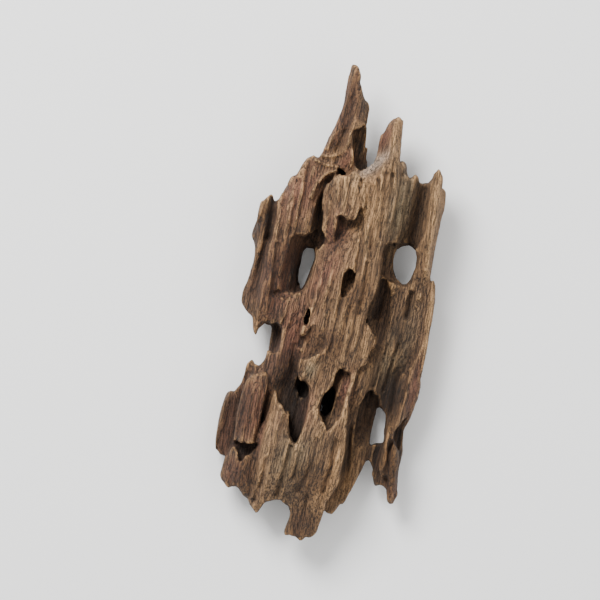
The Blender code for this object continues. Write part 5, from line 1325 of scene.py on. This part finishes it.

# %% [markdown]
# ## Floor, light and camera
#
# The floor is pale matte paper, which shows soft shadows and no reflections. A big soft light stands above
# the piece's far end and to the left, a weaker one to the right, and a white sky fills the shadows. The
# hollows stay dark partly because the wood itself blocks the light and partly from the shade painted into
# them.

# %% Floor
PAPER_WHITE, PAPER_ROUGHNESS = "#f7f7f6", 0.9
FLOOR_REACH = 3.0
floor_corners = [(x * FLOOR_REACH, y * FLOOR_REACH, 0) for x, y in ((-1, -1), (1, -1), (1, 1), (-1, 1))]
floor_mesh = bpy.data.meshes.new("floor")
floor_mesh.from_pydata(floor_corners, [], [(0, 1, 2, 3)])
floor = bpy.data.objects.new("floor", floor_mesh)
bpy.context.collection.objects.link(floor)
pale = bpy.data.materials.new("pale_paper")
pale.use_nodes = True
paper = pale.node_tree.nodes["Principled BSDF"].inputs
paper["Base Color"].default_value = linear(PAPER_WHITE)
paper["Roughness"].default_value = PAPER_ROUGHNESS
floor_mesh.materials.append(pale)
print("The floor reaches", FLOOR_REACH, "m each way")

# %% Light
def soft_light(name, place, size, power):
    """A square area light that faces the piece, with its side in metres and its power in watts."""
    lamp = bpy.data.lights.new(name, "AREA")
    lamp.size, lamp.energy = size, power
    light = bpy.data.objects.new(name, lamp)
    light.location = place
    light.rotation_euler = (-Vector(place)).to_track_quat("-Z", "Y").to_euler()
    bpy.context.collection.objects.link(light)


soft_light("key", (-0.35, 0.6, 0.75), size=0.45, power=18)
soft_light("fill", (0.7, -0.2, 0.9), size=0.9, power=4)
SKY_WHITE, SKY_STRENGTH = "#ffffff", 0.85
sky = bpy.data.worlds.new("white_sky")
sky.use_nodes = True
background = sky.node_tree.nodes["Background"].inputs
background["Color"].default_value = linear(SKY_WHITE)
background["Strength"].default_value = SKY_STRENGTH
bpy.context.scene.world = sky
print("Lights:", [light.name for light in bpy.data.lights], "and a sky of strength", SKY_STRENGTH)

# %% [markdown]
# ## Camera
#
# It looks straight down from 1.8 m, so that high and low parts keep their places. The picture spans 189 mm
# where the piece's middle layer is, which on a 36 mm sensor takes a focal length of 36 times 1785 over 189.

# %% Camera
DISTANCE, SPAN, MID_LAYER = 1800.0, 189.0, 15.0
SENSOR = 36
AIM_X, AIM_Y = -9.6, 0.8
lens = bpy.data.cameras.new("camera")
lens.sensor_width = SENSOR
lens.lens = SENSOR * (DISTANCE - MID_LAYER) / SPAN
lens.clip_start = 0.01
camera = bpy.data.objects.new("camera", lens)
camera.location = (AIM_X * MM, AIM_Y * MM, DISTANCE * MM)
bpy.context.collection.objects.link(camera)
bpy.context.scene.camera = camera
print("The lens is", round(lens.lens), "mm long")
